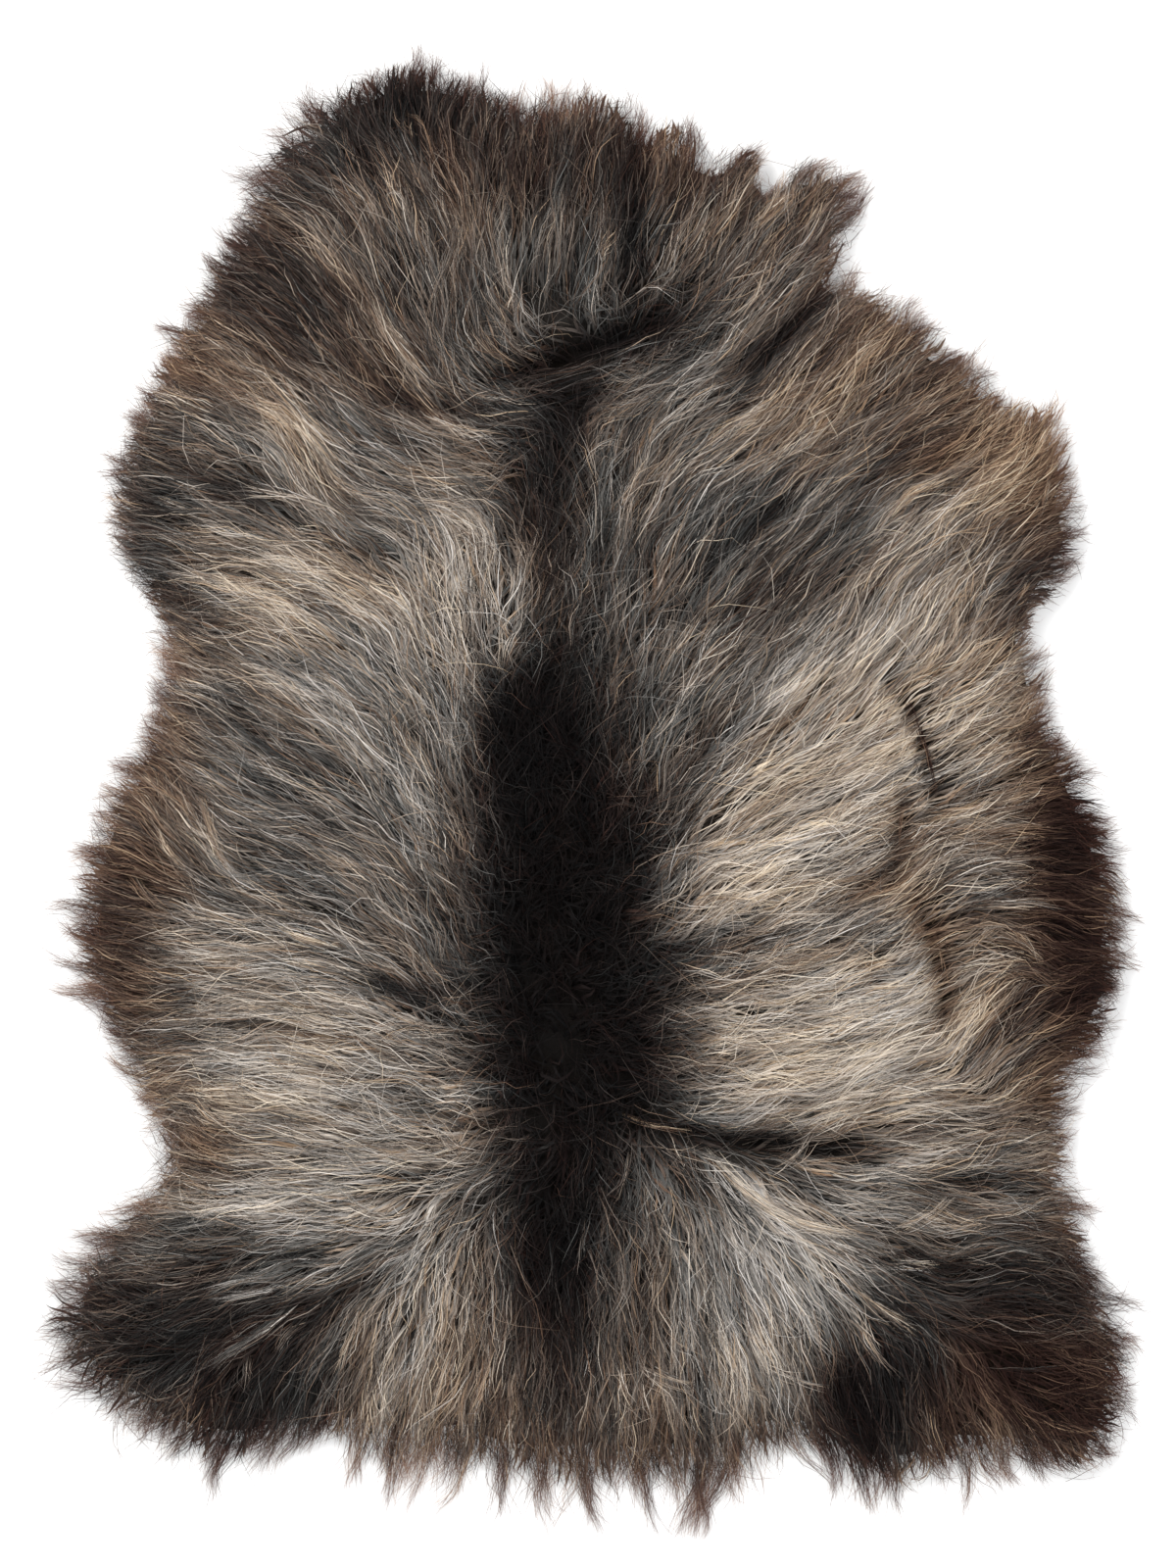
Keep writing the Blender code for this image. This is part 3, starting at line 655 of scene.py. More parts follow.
# The comb: the wool was combed out from the spine, and each stroke gives x, y and a heading.
# Nearer strokes count for more, and the rim's own locks are strokes too.
STROKES = (
    (-130, 490, 96), (-160, 450, 116), (-200, 430, 146), (-230, 390, 146), (-110, 430, 118),
    (-60, 420, 90), (-20, 400, 80), (20, 380, 76), (20, 440, 88), (60, 400, 64), (60, 450, 84),
    (100, 380, 58), (130, 420, 50), (160, 400, 60), (100, 330, 50), (140, 300, 48), (50, 325, 34),
    (10, 290, 20), (-40, 280, 164), (-30, 312, 152), (-55, 330, 122), (-85, 350, 100),
    (-20, 345, 84), (20, 340, 70), (-110, 290, 128), (-150, 330, 122), (-170, 370, 118),
    (-200, 340, 132), (-240, 340, 148), (-280, 330, 158), (-120, 250, 154), (-180, 270, 138),
    (-200, 220, 124), (-250, 250, 146), (-300, 250, 160), (-300, 200, 170), (-250, 190, 160),
    (-150, 200, 150), (-90, 215, 158), (-65, 240, 170), (-30, 220, 95), (-200, 150, 156),
    (-250, 150, 172), (-280, 140, 166), (-150, 140, 146), (-110, 150, 112), (-120, 100, 118),
    (-70, 150, 98), (-45, 120, 70), (-80, 90, 104), (-200, 90, 150), (-250, 90, 158),
    (-160, 60, 136), (-130, 20, 120), (-98, 30, 106), (-100, -40, 112), (-200, 20, 146),
    (-250, 30, 146), (-290, 40, 150), (-300, -20, 126), (-275, -55, 140), (-220, -30, 160),
    (-175, -50, 148), (-225, -85, 164), (-135, -85, 132), (-100, -110, 118), (-310, -95, 172),
    (-250, -120, 176), (-200, -135, 168), (-150, -130, 158), (-110, -155, 148), (-300, -165, 186),
    (-240, -180, 181), (-180, -180, 168), (-130, -195, 164), (-310, -210, 196), (-240, -230, 172),
    (-180, -240, 165), (-280, -250, 150), (-240, -275, 175), (-180, -285, 178), (-120, -270, 172),
    (-100, -230, 165), (-265, -310, 186), (-200, -320, 183), (-150, -310, 192), (-112, -318, 232),
    (-150, -345, 215), (-210, -360, 198), (-250, -380, 210), (-185, -390, 236), (-150, -390, 250),
    (-120, -370, 258), (-90, -360, 268), (-62, -345, 278), (-90, -430, 255), (-120, -445, 260),
    (-55, -430, 266), (-320, -400, 192), (-345, -375, 180), (-300, -440, 228), (-255, -450, 248),
    (-215, -450, 252), (-165, -450, 260), (-20, -350, 270), (0, -410, 272), (-10, -460, 268),
    (30, -350, 268), (45, -300, 280), (75, -285, 302), (98, -335, 288), (60, -400, 276),
    (115, -295, 312), (150, -312, 326), (150, -350, 300), (130, -390, 290), (190, -345, 320),
    (220, -370, 322), (180, -395, 290), (205, -430, 280), (195, -318, 348), (235, -338, 340),
    (268, -335, 15), (300, -305, 358), (250, -300, 346), (200, -282, 0), (150, -276, 340),
    (255, -268, 14), (300, -268, 10), (300, -370, -6), (330, -410, -18), (290, -440, -50),
    (250, -430, -75), (340, -460, -30), (120, -245, 18), (160, -245, 22), (78, -240, 350),
    (40, -262, 296), (10, -265, 275), (60, -210, 2), (100, -200, 10), (150, -200, 14),
    (200, -200, 22), (230, -215, 12), (255, -235, 355), (272, -190, 56), (300, -200, 40),
    (300, -155, 50), (340, -150, 18), (60, -160, 4), (100, -160, 6), (150, -160, 9),
    (200, -150, 16), (240, -140, 28), (44, -112, 20), (80, -96, 32), (120, -110, 16),
    (160, -110, 18), (200, -108, 26), (230, -98, 36), (262, -100, 18), (300, -102, -16),
    (322, -122, -34), (280, -60, 5), (305, -78, 2), (340, -60, -14), (320, -30, 6), (60, -70, 52),
    (100, -50, 24), (150, -40, 18), (200, -50, 28), (238, -58, 36), (262, -30, 12), (58, -20, 62),
    (100, 0, 40), (150, -10, 26), (200, 0, 28), (230, 22, 28), (270, 0, 28), (300, 30, 30),
    (322, 8, 16), (40, 40, 66), (72, 42, 60), (100, 60, 50), (150, 60, 45), (180, 80, 50),
    (222, 60, 40), (262, 62, 35), (300, 62, 30), (30, 100, 80), (60, 100, 64), (100, 110, 46),
    (150, 120, 50), (200, 112, 55), (240, 112, 60), (270, 122, 62), (300, 102, 45), (310, 140, 36),
    (30, 160, 86), (60, 180, 60), (100, 170, 54), (150, 170, 45), (200, 172, 45), (250, 162, 46),
    (280, 172, 50), (320, 172, 32), (340, 192, 20), (30, 232, 76), (60, 252, 46), (100, 232, 36),
    (100, 262, 30), (150, 232, 42), (200, 242, 38), (250, 222, 30), (250, 252, 24), (300, 232, 36),
    (320, 252, 60), (330, 212, 44), (60, 290, 30), (150, 270, 50), (200, 290, 55), (220, 320, 46),
    (250, 290, 36), (280, 280, 36), (-40, 30, 96), (4, 60, 80), (-60, -50, 112), (12, -50, 72),
    (-62, -130, 140), (16, -120, 40), (-60, -200, 170), (20, -190, 6), (-50, -260, 210),
    (0, -230, 300),
)
STROKE_FALL = 5
STROKE_SOFTNESS = 0.006
RIM_STROKE_EVERY = 6
RIM_TURN = 0.02  # past the rim, where the rim's own way takes over

comb = np.array(STROKES, dtype=float)
stroke_places = comb[:, :2] / MILLIMETRES - TABLE_MIDDLE
comb_places = np.vstack([stroke_places, rim_line[::RIM_STROKE_EVERY]])
comb_ways = np.vstack([headings(comb[:, 2]), unit(rim[::RIM_STROKE_EVERY, 3:5])])
pull = np.zeros((len(flat_places), 2))
for stroke_place, stroke_way in zip(comb_places, comb_ways):
    gap = np.linalg.norm(flat_places - stroke_place, axis=1)
    pull += (1 / (gap + STROKE_SOFTNESS) ** STROKE_FALL)[:, None] * stroke_way
beyond = np.clip(past_rim.reshape(-1, 1) / RIM_TURN, 0, 1)
pull = unit(pull) * (1 - beyond) + rim_way * beyond
combed = softened(unit(pull.reshape(*map_shape, 2)), 1)

# Between its locks the wool parts into streaks along the comb, lower than the locks and painted
# darker there: partly the wool's own tone and partly painted shade.
STREAK_STEPS = 9
STREAK_STEP = 0.0045
STREAK_RISE = 0.0016
STREAK_TONE_AND_SHADE = 0.055
STREAK_FADE = 0.02  # in from the rim
WARM_DRIFT = 0.10


def drawn_out(field):
    """A map of blotches drawn out along the comb into streaks, evenly spread about 0."""
    streaks = field.reshape(-1).copy()
    for way_along in (1, -1):
        walkers = flat_places.copy()
        for step in range(1, STREAK_STEPS):
            walkers += way_along * STREAK_STEP * read(combed, walkers)
            streaks += (1 - step / STREAK_STEPS) * read(field, walkers)
    return ((streaks - streaks.mean()) / streaks.std()).reshape(map_shape)


streaks = drawn_out(blotches(8, 0.0095) + 0.9 * blotches(9, 0.0065))
lay += STREAK_RISE * streaks * droop * np.clip(-past_rim / STREAK_FADE, 0, 1)
# Partly painted shade: the lower streaks are painted darker, the higher ones paler.
tones[..., 0] += STREAK_TONE_AND_SHADE * streaks * (0.25 + 1.4 * tones[..., 0])
# Painted shade: the wool's tone is darkened in the partings' troughs.
tones[..., 0] *= 1 - parting_painted_shade
tones[..., 1] += WARM_DRIFT * drawn_out(blotches(12, 0.018) + 0.8 * blotches(13, 0.010))
under_tones = read(tones, np.vstack([top_points, low_points]))
set_values(underwool.data, light=under_tones[:, 0], warm=under_tones[:, 1])

# Where the wool is felted and short: x, y, heading, half length, half width, how much.
FELTED = (
    (-20, -110, 90, 190, 58, 1.0), (-42, 40, 90, 60, 36, 0.9), (-25, 190, 90, 90, 26, 0.7),
    (4, 306, 20, 55, 20, 0.8), (-70, 130, 90, 55, 45, 0.25), (30, -250, 0, 45, 26, 0.6),
    (-270, -250, 70, 30, 18, 0.6), (-318, -395, 170, 60, 40, 0.35), (320, -405, 160, 60, 45, 0.3),
    (-190, 455, 50, 50, 22, 0.3),
)
felted = np.zeros(len(flat_places))
for patch in FELTED:
    felted = np.maximum(felted, patch_share(*patch))
felted = felted.reshape(map_shape)

# Folds that were pressed in across the locks: from x, y to x, y, and how many strands end there.
FOLDS = (
    (206, 82, 224, 62, 0.55), (224, 62, 239, 28, 0.78), (239, 28, 250, -14, 0.78),
    (227, -4, 219, -60, 0.55), (234, -80, 250, -120, 0.7), (250, -120, 256, -166, 0.65),
    (196, -118, 206, -142, 0.4), (-236, 30, -252, 56, 0.6), (-238, -36, -236, -66, 0.5),
)


def blown(ways, degrees):
    """Directions turned by angles in degrees."""
    turn = np.radians(degrees)[..., None]
    return ways * np.cos(turn) + left_of(ways) * np.sin(turn)


def rooted(spacing, seed, wanted):
    """Root places at about one spacing, wherever the test on a place holds."""
    drawn = np.random.default_rng(seed)
    across, upward = np.arange(-0.42, 0.42, spacing), np.arange(-0.55, 0.55, spacing)
    spots = np.stack(np.meshgrid(across, upward), axis=-1).reshape(-1, 2)
    spots = spots + drawn.uniform(-0.45, 0.45, spots.shape) * spacing
    return spots[wanted(spots)]


PATH_STEPS = 14
LONGEST = 1.18  # of a lock's own length that its path is walked
RIM_CUT_WIDTH = 0.090
COMMON_REACH = 0.026  # of the locks past the rim
FARTHEST_OUT = 0.064
FELT_SHORTER = 0.55
FELT_STRAY = 34  # degrees
SWEEP_SIZE = 0.06
PHASE_SIZE = 0.05
PHASE_DRIFT = 2.6 * math.pi
LOOSE_SPREAD, LOOSE_FAN, LOOSE_REACH = 2.0, 3.5, 1.2  # of the gathered strands'
FELT_SPREAD, FELT_FAN, FELT_WAVE = 0.8, 2.5, 1.5  # more, where the wool is felted
OWN_TURNS = (1.0, 2.2)  # waves of its own in a strand
WHOLE_WAVE = 0.6  # share of a lock's length below which a strand's own waves are lower
REACH_SPREAD = (0.6, 1.1)  # of the lock's reach past the rim
ROOT_SHARE = 0.4  # of a strand that is sunk in the underwool
RISE_SHARE = 0.35  # of a strand in which it rises to its layer
TIP_FROM, TIP_SHARE = 0.7, 0.3  # of a strand, where its tip falls
THIN_WOOL = 0.02
LEAST_ROOM = 0.12
LOOSE_LIFT = 0.004
LOWEST = 0.0006
LOWEST_LAYERS = 0.0012
MAP_SIZE = 1024  # pixels
CELL_MARGIN = 0.55
STRAND_TAPER = ((0, 0.25, 0.55, 0.8, 1), (0.75, 1.0, 0.9, 0.55, 0.0))
cad_top = cad_box[1][2]
HIGHEST_OVER = 0.0095


def grown_locks(style, spots, seed, drawn):
    """Each lock's middle line, walked from its root along the comb, and the way across it."""
    felt_here = read(felted, spots)
    near_rim = np.clip(1 + read(past_rim, spots) / RIM_CUT_WIDTH, 0, 1)
    lengths = LONGEST * drawn.uniform(*style["length"], len(spots))
    lengths *= (1 - FELT_SHORTER * felt_here) * (1 - style["rim_cut"] * near_rim)
    lengths *= 1 + style["rim_gain"] * np.clip(read(reach, spots) / COMMON_REACH - 1, -0.5, 1)
    stray = drawn.normal(0, 1, len(spots)) * (style["stray"] + FELT_STRAY * felt_here)
    bend = drawn.normal(0, style["bend"], len(spots))
    bend += style["sweep"] * read(blotches(seed + 2, SWEEP_SIZE), spots)
    paths = [spots]
    for step in range(PATH_STEPS):
        ways = blown(unit(read(combed, paths[-1])), stray + bend * step / PATH_STEPS)
        paths.append(paths[-1] + ways * (lengths / PATH_STEPS)[:, None])
    paths = np.stack(paths, axis=1)
    across = left_of(unit(np.gradient(paths, axis=1)))
    run = np.linspace(0, 1, PATH_STEPS + 1)[None, :] * lengths[:, None]
    wave_length = drawn.uniform(*style["wave_length"], len(spots))[:, None]
    wave_height = drawn.uniform(*style["wave_height"], len(spots))[:, None]
    phases = PHASE_DRIFT * read(blotches(seed + 1, PHASE_SIZE), spots)
    phases = (phases + drawn.normal(0, style["phase_spread"], len(spots)))[:, None]
    waves = np.sin(2 * math.pi * run / wave_length + phases)
    waves *= wave_height * np.clip(run / wave_length, 0, 1)
    return paths + across * waves[..., None], across, felt_here


def held_in(laid_out, extent, limit, shares):
    """Strands that would run past their lock's reach at the rim, drawn in to end there."""
    everyone = np.arange(len(extent))
    for _round in range(2):
        plan = laid_out(extent)
        farthest = np.minimum(limit[:, None] * read(reach, plan), FARTHEST_OUT)
        over = read(past_rim, plan) - farthest
        too_far = over > 0
        crosses = too_far.any(axis=1)
        after = np.where(crosses, too_far.argmax(axis=1), len(shares))
        after = np.clip(after, 1, len(shares) - 1)
        rise = over[everyone, after] - over[everyone, after - 1]
        part = np.clip(-over[everyone, after - 1] / np.where(rise > 1e-9, rise, 1), 0, 1)
        crossing = shares[after - 1] + part * (shares[after] - shares[after - 1])
        extent = np.where(crosses, extent * crossing, extent)
    return extent


def ended_at_folds(laid_out, extent, shares, drawn):
    """Strands that cross a fold, a part of them cut short to end at it."""
    everyone = np.arange(len(extent))
    for *ends, ending in FOLDS:
        x1, y1, x2, y2 = np.array(ends) / MILLIMETRES
        plan = laid_out(extent) + TABLE_MIDDLE - (x1, y1)
        fold = np.array((x2 - x1, y2 - y1))
        side = plan[..., 0] * fold[1] - plan[..., 1] * fold[0]
        change = side[:, :-1] - side[:, 1:]
        part = side[:, :-1] / np.where(change == 0, 1, change)
        met = plan[:, :-1] + part[..., None] * np.diff(plan, axis=1)
        along_fold = met @ fold / (fold @ fold)
        meets = (part > 0) & (part < 1) & (along_fold > 0) & (along_fold < 1)
        first = meets.argmax(axis=1)
        share = shares[first] + part[everyone, first] * (shares[first + 1] - shares[first])
        stops = meets.any(axis=1) & (drawn.uniform(0, 1, len(extent)) < ending)
        short = extent * share * drawn.uniform(0.9, 1.0, len(extent))
        extent = np.where(stops, short, extent)
    return extent


def strand_heights(style, plan, lock, lock_count, loose, drawn):
    """How high above the floor each strand's points lie: sunk at the root, falling at the tip."""
    count, shares = len(plan), np.array(style["points"])
    layer = drawn.uniform(0, 1, count)[:, None] ** style["layer_power"]
    lock_rise = drawn.uniform(-1, 1, lock_count)[lock][:, None] * style["lock_rise"]
    buried = style["root_depth"] * (1 - np.clip(shares / ROOT_SHARE, 0, 1)) ** 1.4
    lift = np.broadcast_to(style["lift"], lock_count)[lock][:, None]
    top = (lift * layer + lock_rise) * np.clip(shares / RISE_SHARE, 0, 1)
    tip_fall = style["tip_fall"] * np.clip((shares - TIP_FROM) / TIP_SHARE, 0, 1) ** 1.5
    arch = drawn.uniform(0, style["arch"], count)[:, None] * np.sin(math.pi * shares)
    ground = read(lay, plan)
    room = np.clip(ground / THIN_WOOL, LEAST_ROOM, 1)
    height = ground + (top * (1 - tip_fall) + arch - buried) * room
    loose_lift = np.where(loose, drawn.uniform(0, LOOSE_LIFT, count), 0)
    height += loose_lift[:, None] * shares * room
    return np.clip(height, LOWEST + LOWEST_LAYERS * layer, cad_top + HIGHEST_OVER)


def strand_lines(style, locks, count, drawn):
    """Points from root to tip of every strand, and which lock each is in."""
    paths, across, felt_here = locks
    shares = np.array(style["points"])
    widths = np.broadcast_to(style["spread"], len(paths))
    fullness = drawn.uniform(*style["fullness"], len(paths)) * widths
    lock = drawn.choice(len(paths), count, p=fullness / fullness.sum())
    start = drawn.uniform(0, style["stagger"], count)
    felt = felt_here[lock]
    loose = drawn.uniform(0, 1, count) < style["loose"]
    aside = drawn.normal(0, 1, count)
    wander = aside * widths[lock] * (1 + FELT_SPREAD * felt) * np.where(loose, LOOSE_SPREAD, 1)
    fan = drawn.normal(0, style["fan"], count) * (1 + FELT_FAN * felt)
    fan *= np.where(loose, LOOSE_FAN, 1)
    own_wave = drawn.uniform(*style["own_wave"], count) * (1 + FELT_WAVE * felt)
    own_phase = drawn.uniform(0, 2 * math.pi, count)
    own_turns = drawn.uniform(*OWN_TURNS, count)
    extent = np.minimum(drawn.uniform(*style["strand_length"], count), LONGEST - start)
    extent *= 1 - style["pointed"] * np.minimum(np.abs(aside) / 2, 1)

    def laid_out(extent):
        along = (start[:, None] + shares[None, :] * extent[:, None]) / LONGEST * PATH_STEPS
        knot = np.minimum(along.astype(int), PATH_STEPS - 1)
        part = (along - knot)[..., None]
        rows = lock[:, None]
        middle = paths[rows, knot] * (1 - part) + paths[rows, knot + 1] * part
        side = across[rows, knot] * (1 - part) + across[rows, knot + 1] * part
        swing = np.sin(own_phase[:, None] + 2 * math.pi * own_turns[:, None] * shares[None, :])
        lateral = wander[:, None] * (1 - style["gather"] * shares[None, :] ** 0.8)
        lateral += fan[:, None] * shares[None, :] ** 2
        wave = (own_wave * np.minimum(extent / WHOLE_WAVE, 1))[:, None]
        lateral += wave * swing * shares[None, :] ** 0.5
        return middle + side * lateral[..., None]

    least, most = style["rim_reach"]
    lock_limit = least + (most - least) * drawn.uniform(0, 1, len(paths)) ** 1.5
    limit = lock_limit[lock] * drawn.uniform(*REACH_SPREAD, count) * np.where(loose, LOOSE_REACH, 1)
    limit *= 1 - 0.6 * style["pointed"] * np.minimum(np.abs(aside) / 2, 1)
    extent = held_in(laid_out, extent, limit, shares)
    extent = ended_at_folds(laid_out, extent, shares, drawn)
    plan = laid_out(extent)
    height = strand_heights(style, plan, lock, len(paths), loose, drawn)
    line = np.concatenate([plan, height[..., None]], axis=-1)
    kept = extent > style["shortest"]
    return line[kept], lock[kept]


def on_blades(values, count, knots):
    """Values at each strand's points, laid out for its blade: left, right, left, ... and tip."""
    values = np.broadcast_to(values, (count, knots))
    full = np.empty((count, 2 * knots - 1))
    full[:, 0:-1:2], full[:, 1:-1:2], full[:, -1] = values[:, :-1], values[:, :-1], values[:, -1]
    return full


def blades(name, style, line, drawn):
    """One mesh of narrow blades, one to a strand, that thin to a point, and their map cells."""
    count, knots = line.shape[:2]
    shares = np.array(style["points"])
    ahead = unit(np.gradient(line, axis=1), TINY)
    level = unit(np.cross(np.array((0.0, 0.0, 1.0)), ahead), TINY)
    upright = np.cross(ahead, level)
    roll = np.radians(drawn.normal(0, style["roll"], count))[:, None, None]
    breadth = drawn.uniform(*style["breadth"], count)[:, None]
    taper = np.interp(shares, *STRAND_TAPER)
    edge = (level * np.cos(roll) + upright * np.sin(roll)) * (breadth * taper / 2)[..., None]
    each = 2 * knots - 1
    corners = np.empty((count, each, 3))
    corners[:, 0:-1:2] = line[:, :-1] - edge[:, :-1]
    corners[:, 1:-1:2] = line[:, :-1] + edge[:, :-1]
    corners[:, -1] = line[:, -1]

    rungs = [i for k in range(0, each - 3, 2) for i in (k, k + 1, k + 3, k + 2)]
    pattern = np.array(rungs + [each - 3, each - 2, each - 1])
    starts = np.arange(0, len(pattern), 4)
    loops = (np.arange(count)[:, None] * each + pattern).ravel()
    mesh = bpy.data.meshes.new(name)
    mesh.vertices.add(count * each)
    mesh.vertices.foreach_set("co", corners.astype(np.float32).ravel())
    mesh.loops.add(len(loops))
    mesh.loops.foreach_set("vertex_index", loops.astype(np.int32))
    mesh.polygons.add(count * len(starts))
    firsts = np.arange(count)[:, None] * len(pattern) + starts
    mesh.polygons.foreach_set("loop_start", firsts.astype(np.int32).ravel())
    mesh.update(calc_edges=True)

    # Each strand's cell of the colour map is its own: root at the bottom and tip at the top.
    columns = MAP_SIZE // style["cell"]
    cell_height = MAP_SIZE // math.ceil(count / columns)
    cell_x = np.arange(count) % columns * style["cell"]
    cell_y = np.arange(count) // columns * cell_height
    across_map = np.empty((count, each))
    across_map[:, 0:-1:2] = (cell_x + CELL_MARGIN)[:, None]
    across_map[:, 1:-1:2] = (cell_x + style["cell"] - CELL_MARGIN)[:, None]
    across_map[:, -1] = cell_x + style["cell"] / 2
    up_map = on_blades(cell_y[:, None] + 0.6 + shares * (cell_height - 1.2), count, knots)
    places = np.stack([across_map, up_map], axis=-1).reshape(-1, 2) / MAP_SIZE
    cells = mesh.uv_layers.new(name="OFBake")
    cells.data.foreach_set("uv", places[loops].astype(np.float32).ravel())
    return mesh


def mostly_even(drawn, count, odd_share, odd_rise):
    """Random numbers about 0 for the strands, with a few of them well above the rest."""
    odd = drawn.uniform(0, 1, count) < odd_share
    return (drawn.normal(0, 0.8, count) + odd_rise * (odd - odd_share))[:, None]


def wool_piece(name, style, spots, count, seed, finish, laid_locks=None, shades=None):
    """A piece of the fleece: strands gathered in locks, rooted at the spots or laid one by one."""
    drawn = np.random.default_rng(seed)
    locks = laid_locks or grown_locks(style, spots, seed, drawn)
    line, lock = strand_lines(style, locks, count, drawn)
    mesh = blades(name, style, line, drawn)
    count, knots = line.shape[:2]
    here = read(tones, line[..., :2])
    here = 0.5 * here + 0.5 * here[:, knots // 2][:, None]
    if shades is not None:
        here = np.repeat(shades[lock][:, None], knots, axis=1)
    side = np.zeros((count, 2 * knots - 1))
    side[:, 0:-1:2], side[:, 1:-1:2] = -1, 1
    set_values(
        mesh,
        light=on_blades(here[..., 0], count, knots),
        warm=on_blades(here[..., 1], count, knots),
        along=on_blades(np.array(style["points"]), count, knots),
        lock=on_blades(drawn.normal(0, 1, len(locks[0]))[lock][:, None], count, knots),
        strand=on_blades(mostly_even(drawn, count, 0.12, 2.1), count, knots),
        hue=on_blades(mostly_even(drawn, count, 0.10, 2.6), count, knots),
        side=side,
    )
    return placed(mesh, finish)


def wool_finish(name, root_shade, tip_lift, lock_swing, strand_swing, hairs=0.0, ember=0.0):
    """Wool from root to tip: cool and warm greys by the skin's shading, with darker roots, partly
    their own colour and partly painted shade deep in the fleece.
    """
    finish, shader, shade = new_finish(name)
    light, warm, along = (shade.attribute(a) for a in ("light", "warm", "along"))
    lock, strand, side = (shade.attribute(a) for a in ("lock", "strand", "side"))
    hue = shade.attribute("hue")
    swing = lock * lock_swing + strand * strand_swing
    if hairs:
        streak_place = shade.node(
            "ShaderNodeCombineXYZ", {}, {"X": side * hairs, "Y": along * 2.2, "Z": strand * 41.0}
        )
        streaks = shade.noise(1.0, 2.0, 0.7, streak_place)
        swing = swing + (streaks - 0.5) * STREAK_CONTRAST
    tip = (along - 0.45) * tip_lift
    value = (light + swing * (light * 0.70 + 0.31) + tip * (light * 1.5 + 0.03)).clamped()
    cool = shade.node("ShaderNodeValToRGB", {"stops": COOL_WOOL}, {"Fac": value})
    hot = shade.node("ShaderNodeValToRGB", {"stops": WARM_WOOL}, {"Fac": value})
    colour = shade.mixed((warm + hue * 0.22 + lock * 0.08).clamped(), cool, hot)
    # Partly painted shade: towards the root each strand is mixed towards near black, as deep in the
    # fleece.
    rooted_share = (along * (1 / 0.55)).clamped()
    colour = shade.mixed((1 - rooted_share) * (1 - root_shade), colour, ROOT_DARK_AND_SHADE)
    if ember:
        colour = shade.mixed(((along - 0.25) * ember).clamped(), colour, EMBER, "ADD")
    colour.feeds(shader, "Base Color")
    (0.60 + strand * 0.04).clamped().feeds(shader, "Roughness")
    shader.inputs["Specular IOR Level"].default_value = 0.06
    return finish


COOL_WOOL = (
    (0.0, (0.0035, 0.0034, 0.0036)), (0.25, (0.0325, 0.0330, 0.0325)), (0.5, (0.155, 0.153, 0.145)),
    (0.75, (0.415, 0.388, 0.365)), (1.0, (0.760, 0.718, 0.682)),
)
WARM_WOOL = (
    (0.0, (0.009, 0.0045, 0.004)), (0.12, (0.030, 0.0135, 0.0105)), (0.25, (0.064, 0.0360, 0.027)),
    (0.5, (0.240, 0.148, 0.096)), (0.75, (0.540, 0.386, 0.250)), (1.0, (0.860, 0.720, 0.540)),
)
# The near black that the roots are mixed towards: their own dark and painted shade deep in the
# fleece.
ROOT_DARK_AND_SHADE = (0.0045, 0.0043, 0.0045, 1.0)
STREAK_CONTRAST = 1.3
EMBER = (0.125, 0.050, 0.036, 1.0)  # the red that light through a fine dark tip shows

# What the kinds of wool share, where one doesn't say otherwise. Its lengths are in metres, its
# turns in degrees, and the rest are shares of a strand, of its lock or of the lock's reach.
ANY_WOOL = {
    "rim_gain": 0.0, "sweep": 0.0, "own_wave": (0.0002, 0.0010), "pointed": 0.0, "shortest": 0.3,
    "arch": 0.003, "cell": 4, "fullness": (0.5, 1.5),
}

# The undercoat: broad flat wisps of many fine hairs each, combed down under the long wool, so that
# what shows between the strands is wool too.
UNDERCOAT = {
    **ANY_WOOL, "length": (0.044, 0.066), "rim_cut": 0.25, "wave_length": (0.03, 0.05),
    "wave_height": (0.0006, 0.002), "phase_spread": 1.0, "stray": 6.0, "bend": 6.0,
    "points": (0.0, 0.25, 0.48, 0.68, 0.86, 1.0), "stagger": 0.2, "strand_length": (0.7, 1.0),
    "spread": 0.0048, "fan": 0.004, "loose": 0.0, "gather": 0.2, "rim_reach": (-0.2, 0.62),
    "shortest": 0.25, "layer_power": 1.0, "root_depth": 0.01, "lift": 0.0015, "tip_fall": 0.2,
    "arch": 0.002, "roll": 22.0, "lock_rise": 0.001, "breadth": (0.0016, 0.0028), "cell": 8,
}
under_finish = wool_finish("undercoat wool", 0.40, 0.04, 0.08, 0.06, 4.0)
under_spots = rooted(0.0100, 21, lambda p: read(past_rim, p) < -0.006)
undercoat = wool_piece("undercoat", UNDERCOAT, under_spots, 15000, 22, under_finish)

# The long coat, left and right of the spine: the outer wool that the comb has drawn into locks,
# dark at the root, partly as painted shade, and paler along the waves to the tip.
LONG_COAT = {
    **ANY_WOOL, "length": (0.068, 0.104), "rim_cut": 0.3, "wave_length": (0.036, 0.06),
    "wave_height": (0.001, 0.003), "phase_spread": 0.6, "stray": 4.0, "bend": 7.0, "sweep": 8.0,
    "points": (0.0, 0.28, 0.5, 0.68, 0.85, 1.0), "stagger": 0.22, "strand_length": (0.62, 0.96),
    "spread": 0.0034, "fan": 0.0032, "loose": 0.07, "gather": 0.5, "pointed": 0.1,
    "rim_reach": (-0.3, 0.8), "layer_power": 0.8, "root_depth": 0.012, "lift": 0.007,
    "tip_fall": 0.25, "roll": 34.0, "lock_rise": 0.0025, "breadth": (0.00035, 0.0007),
}
coat_finish = wool_finish("long coat wool", 0.42, 0.20, 0.14, 0.27)
SPINE_X = -0.020
left_spots = rooted(0.0085, 31, lambda p: (read(past_rim, p) < -0.010) & (p[:, 0] < SPINE_X))
left_coat = wool_piece("left_coat", LONG_COAT, left_spots, 22000, 32, coat_finish)
right_spots = rooted(0.0085, 41, lambda p: (read(past_rim, p) < -0.010) & (p[:, 0] >= SPINE_X))
right_coat = wool_piece("right_coat", LONG_COAT, right_spots, 22000, 42, coat_finish)

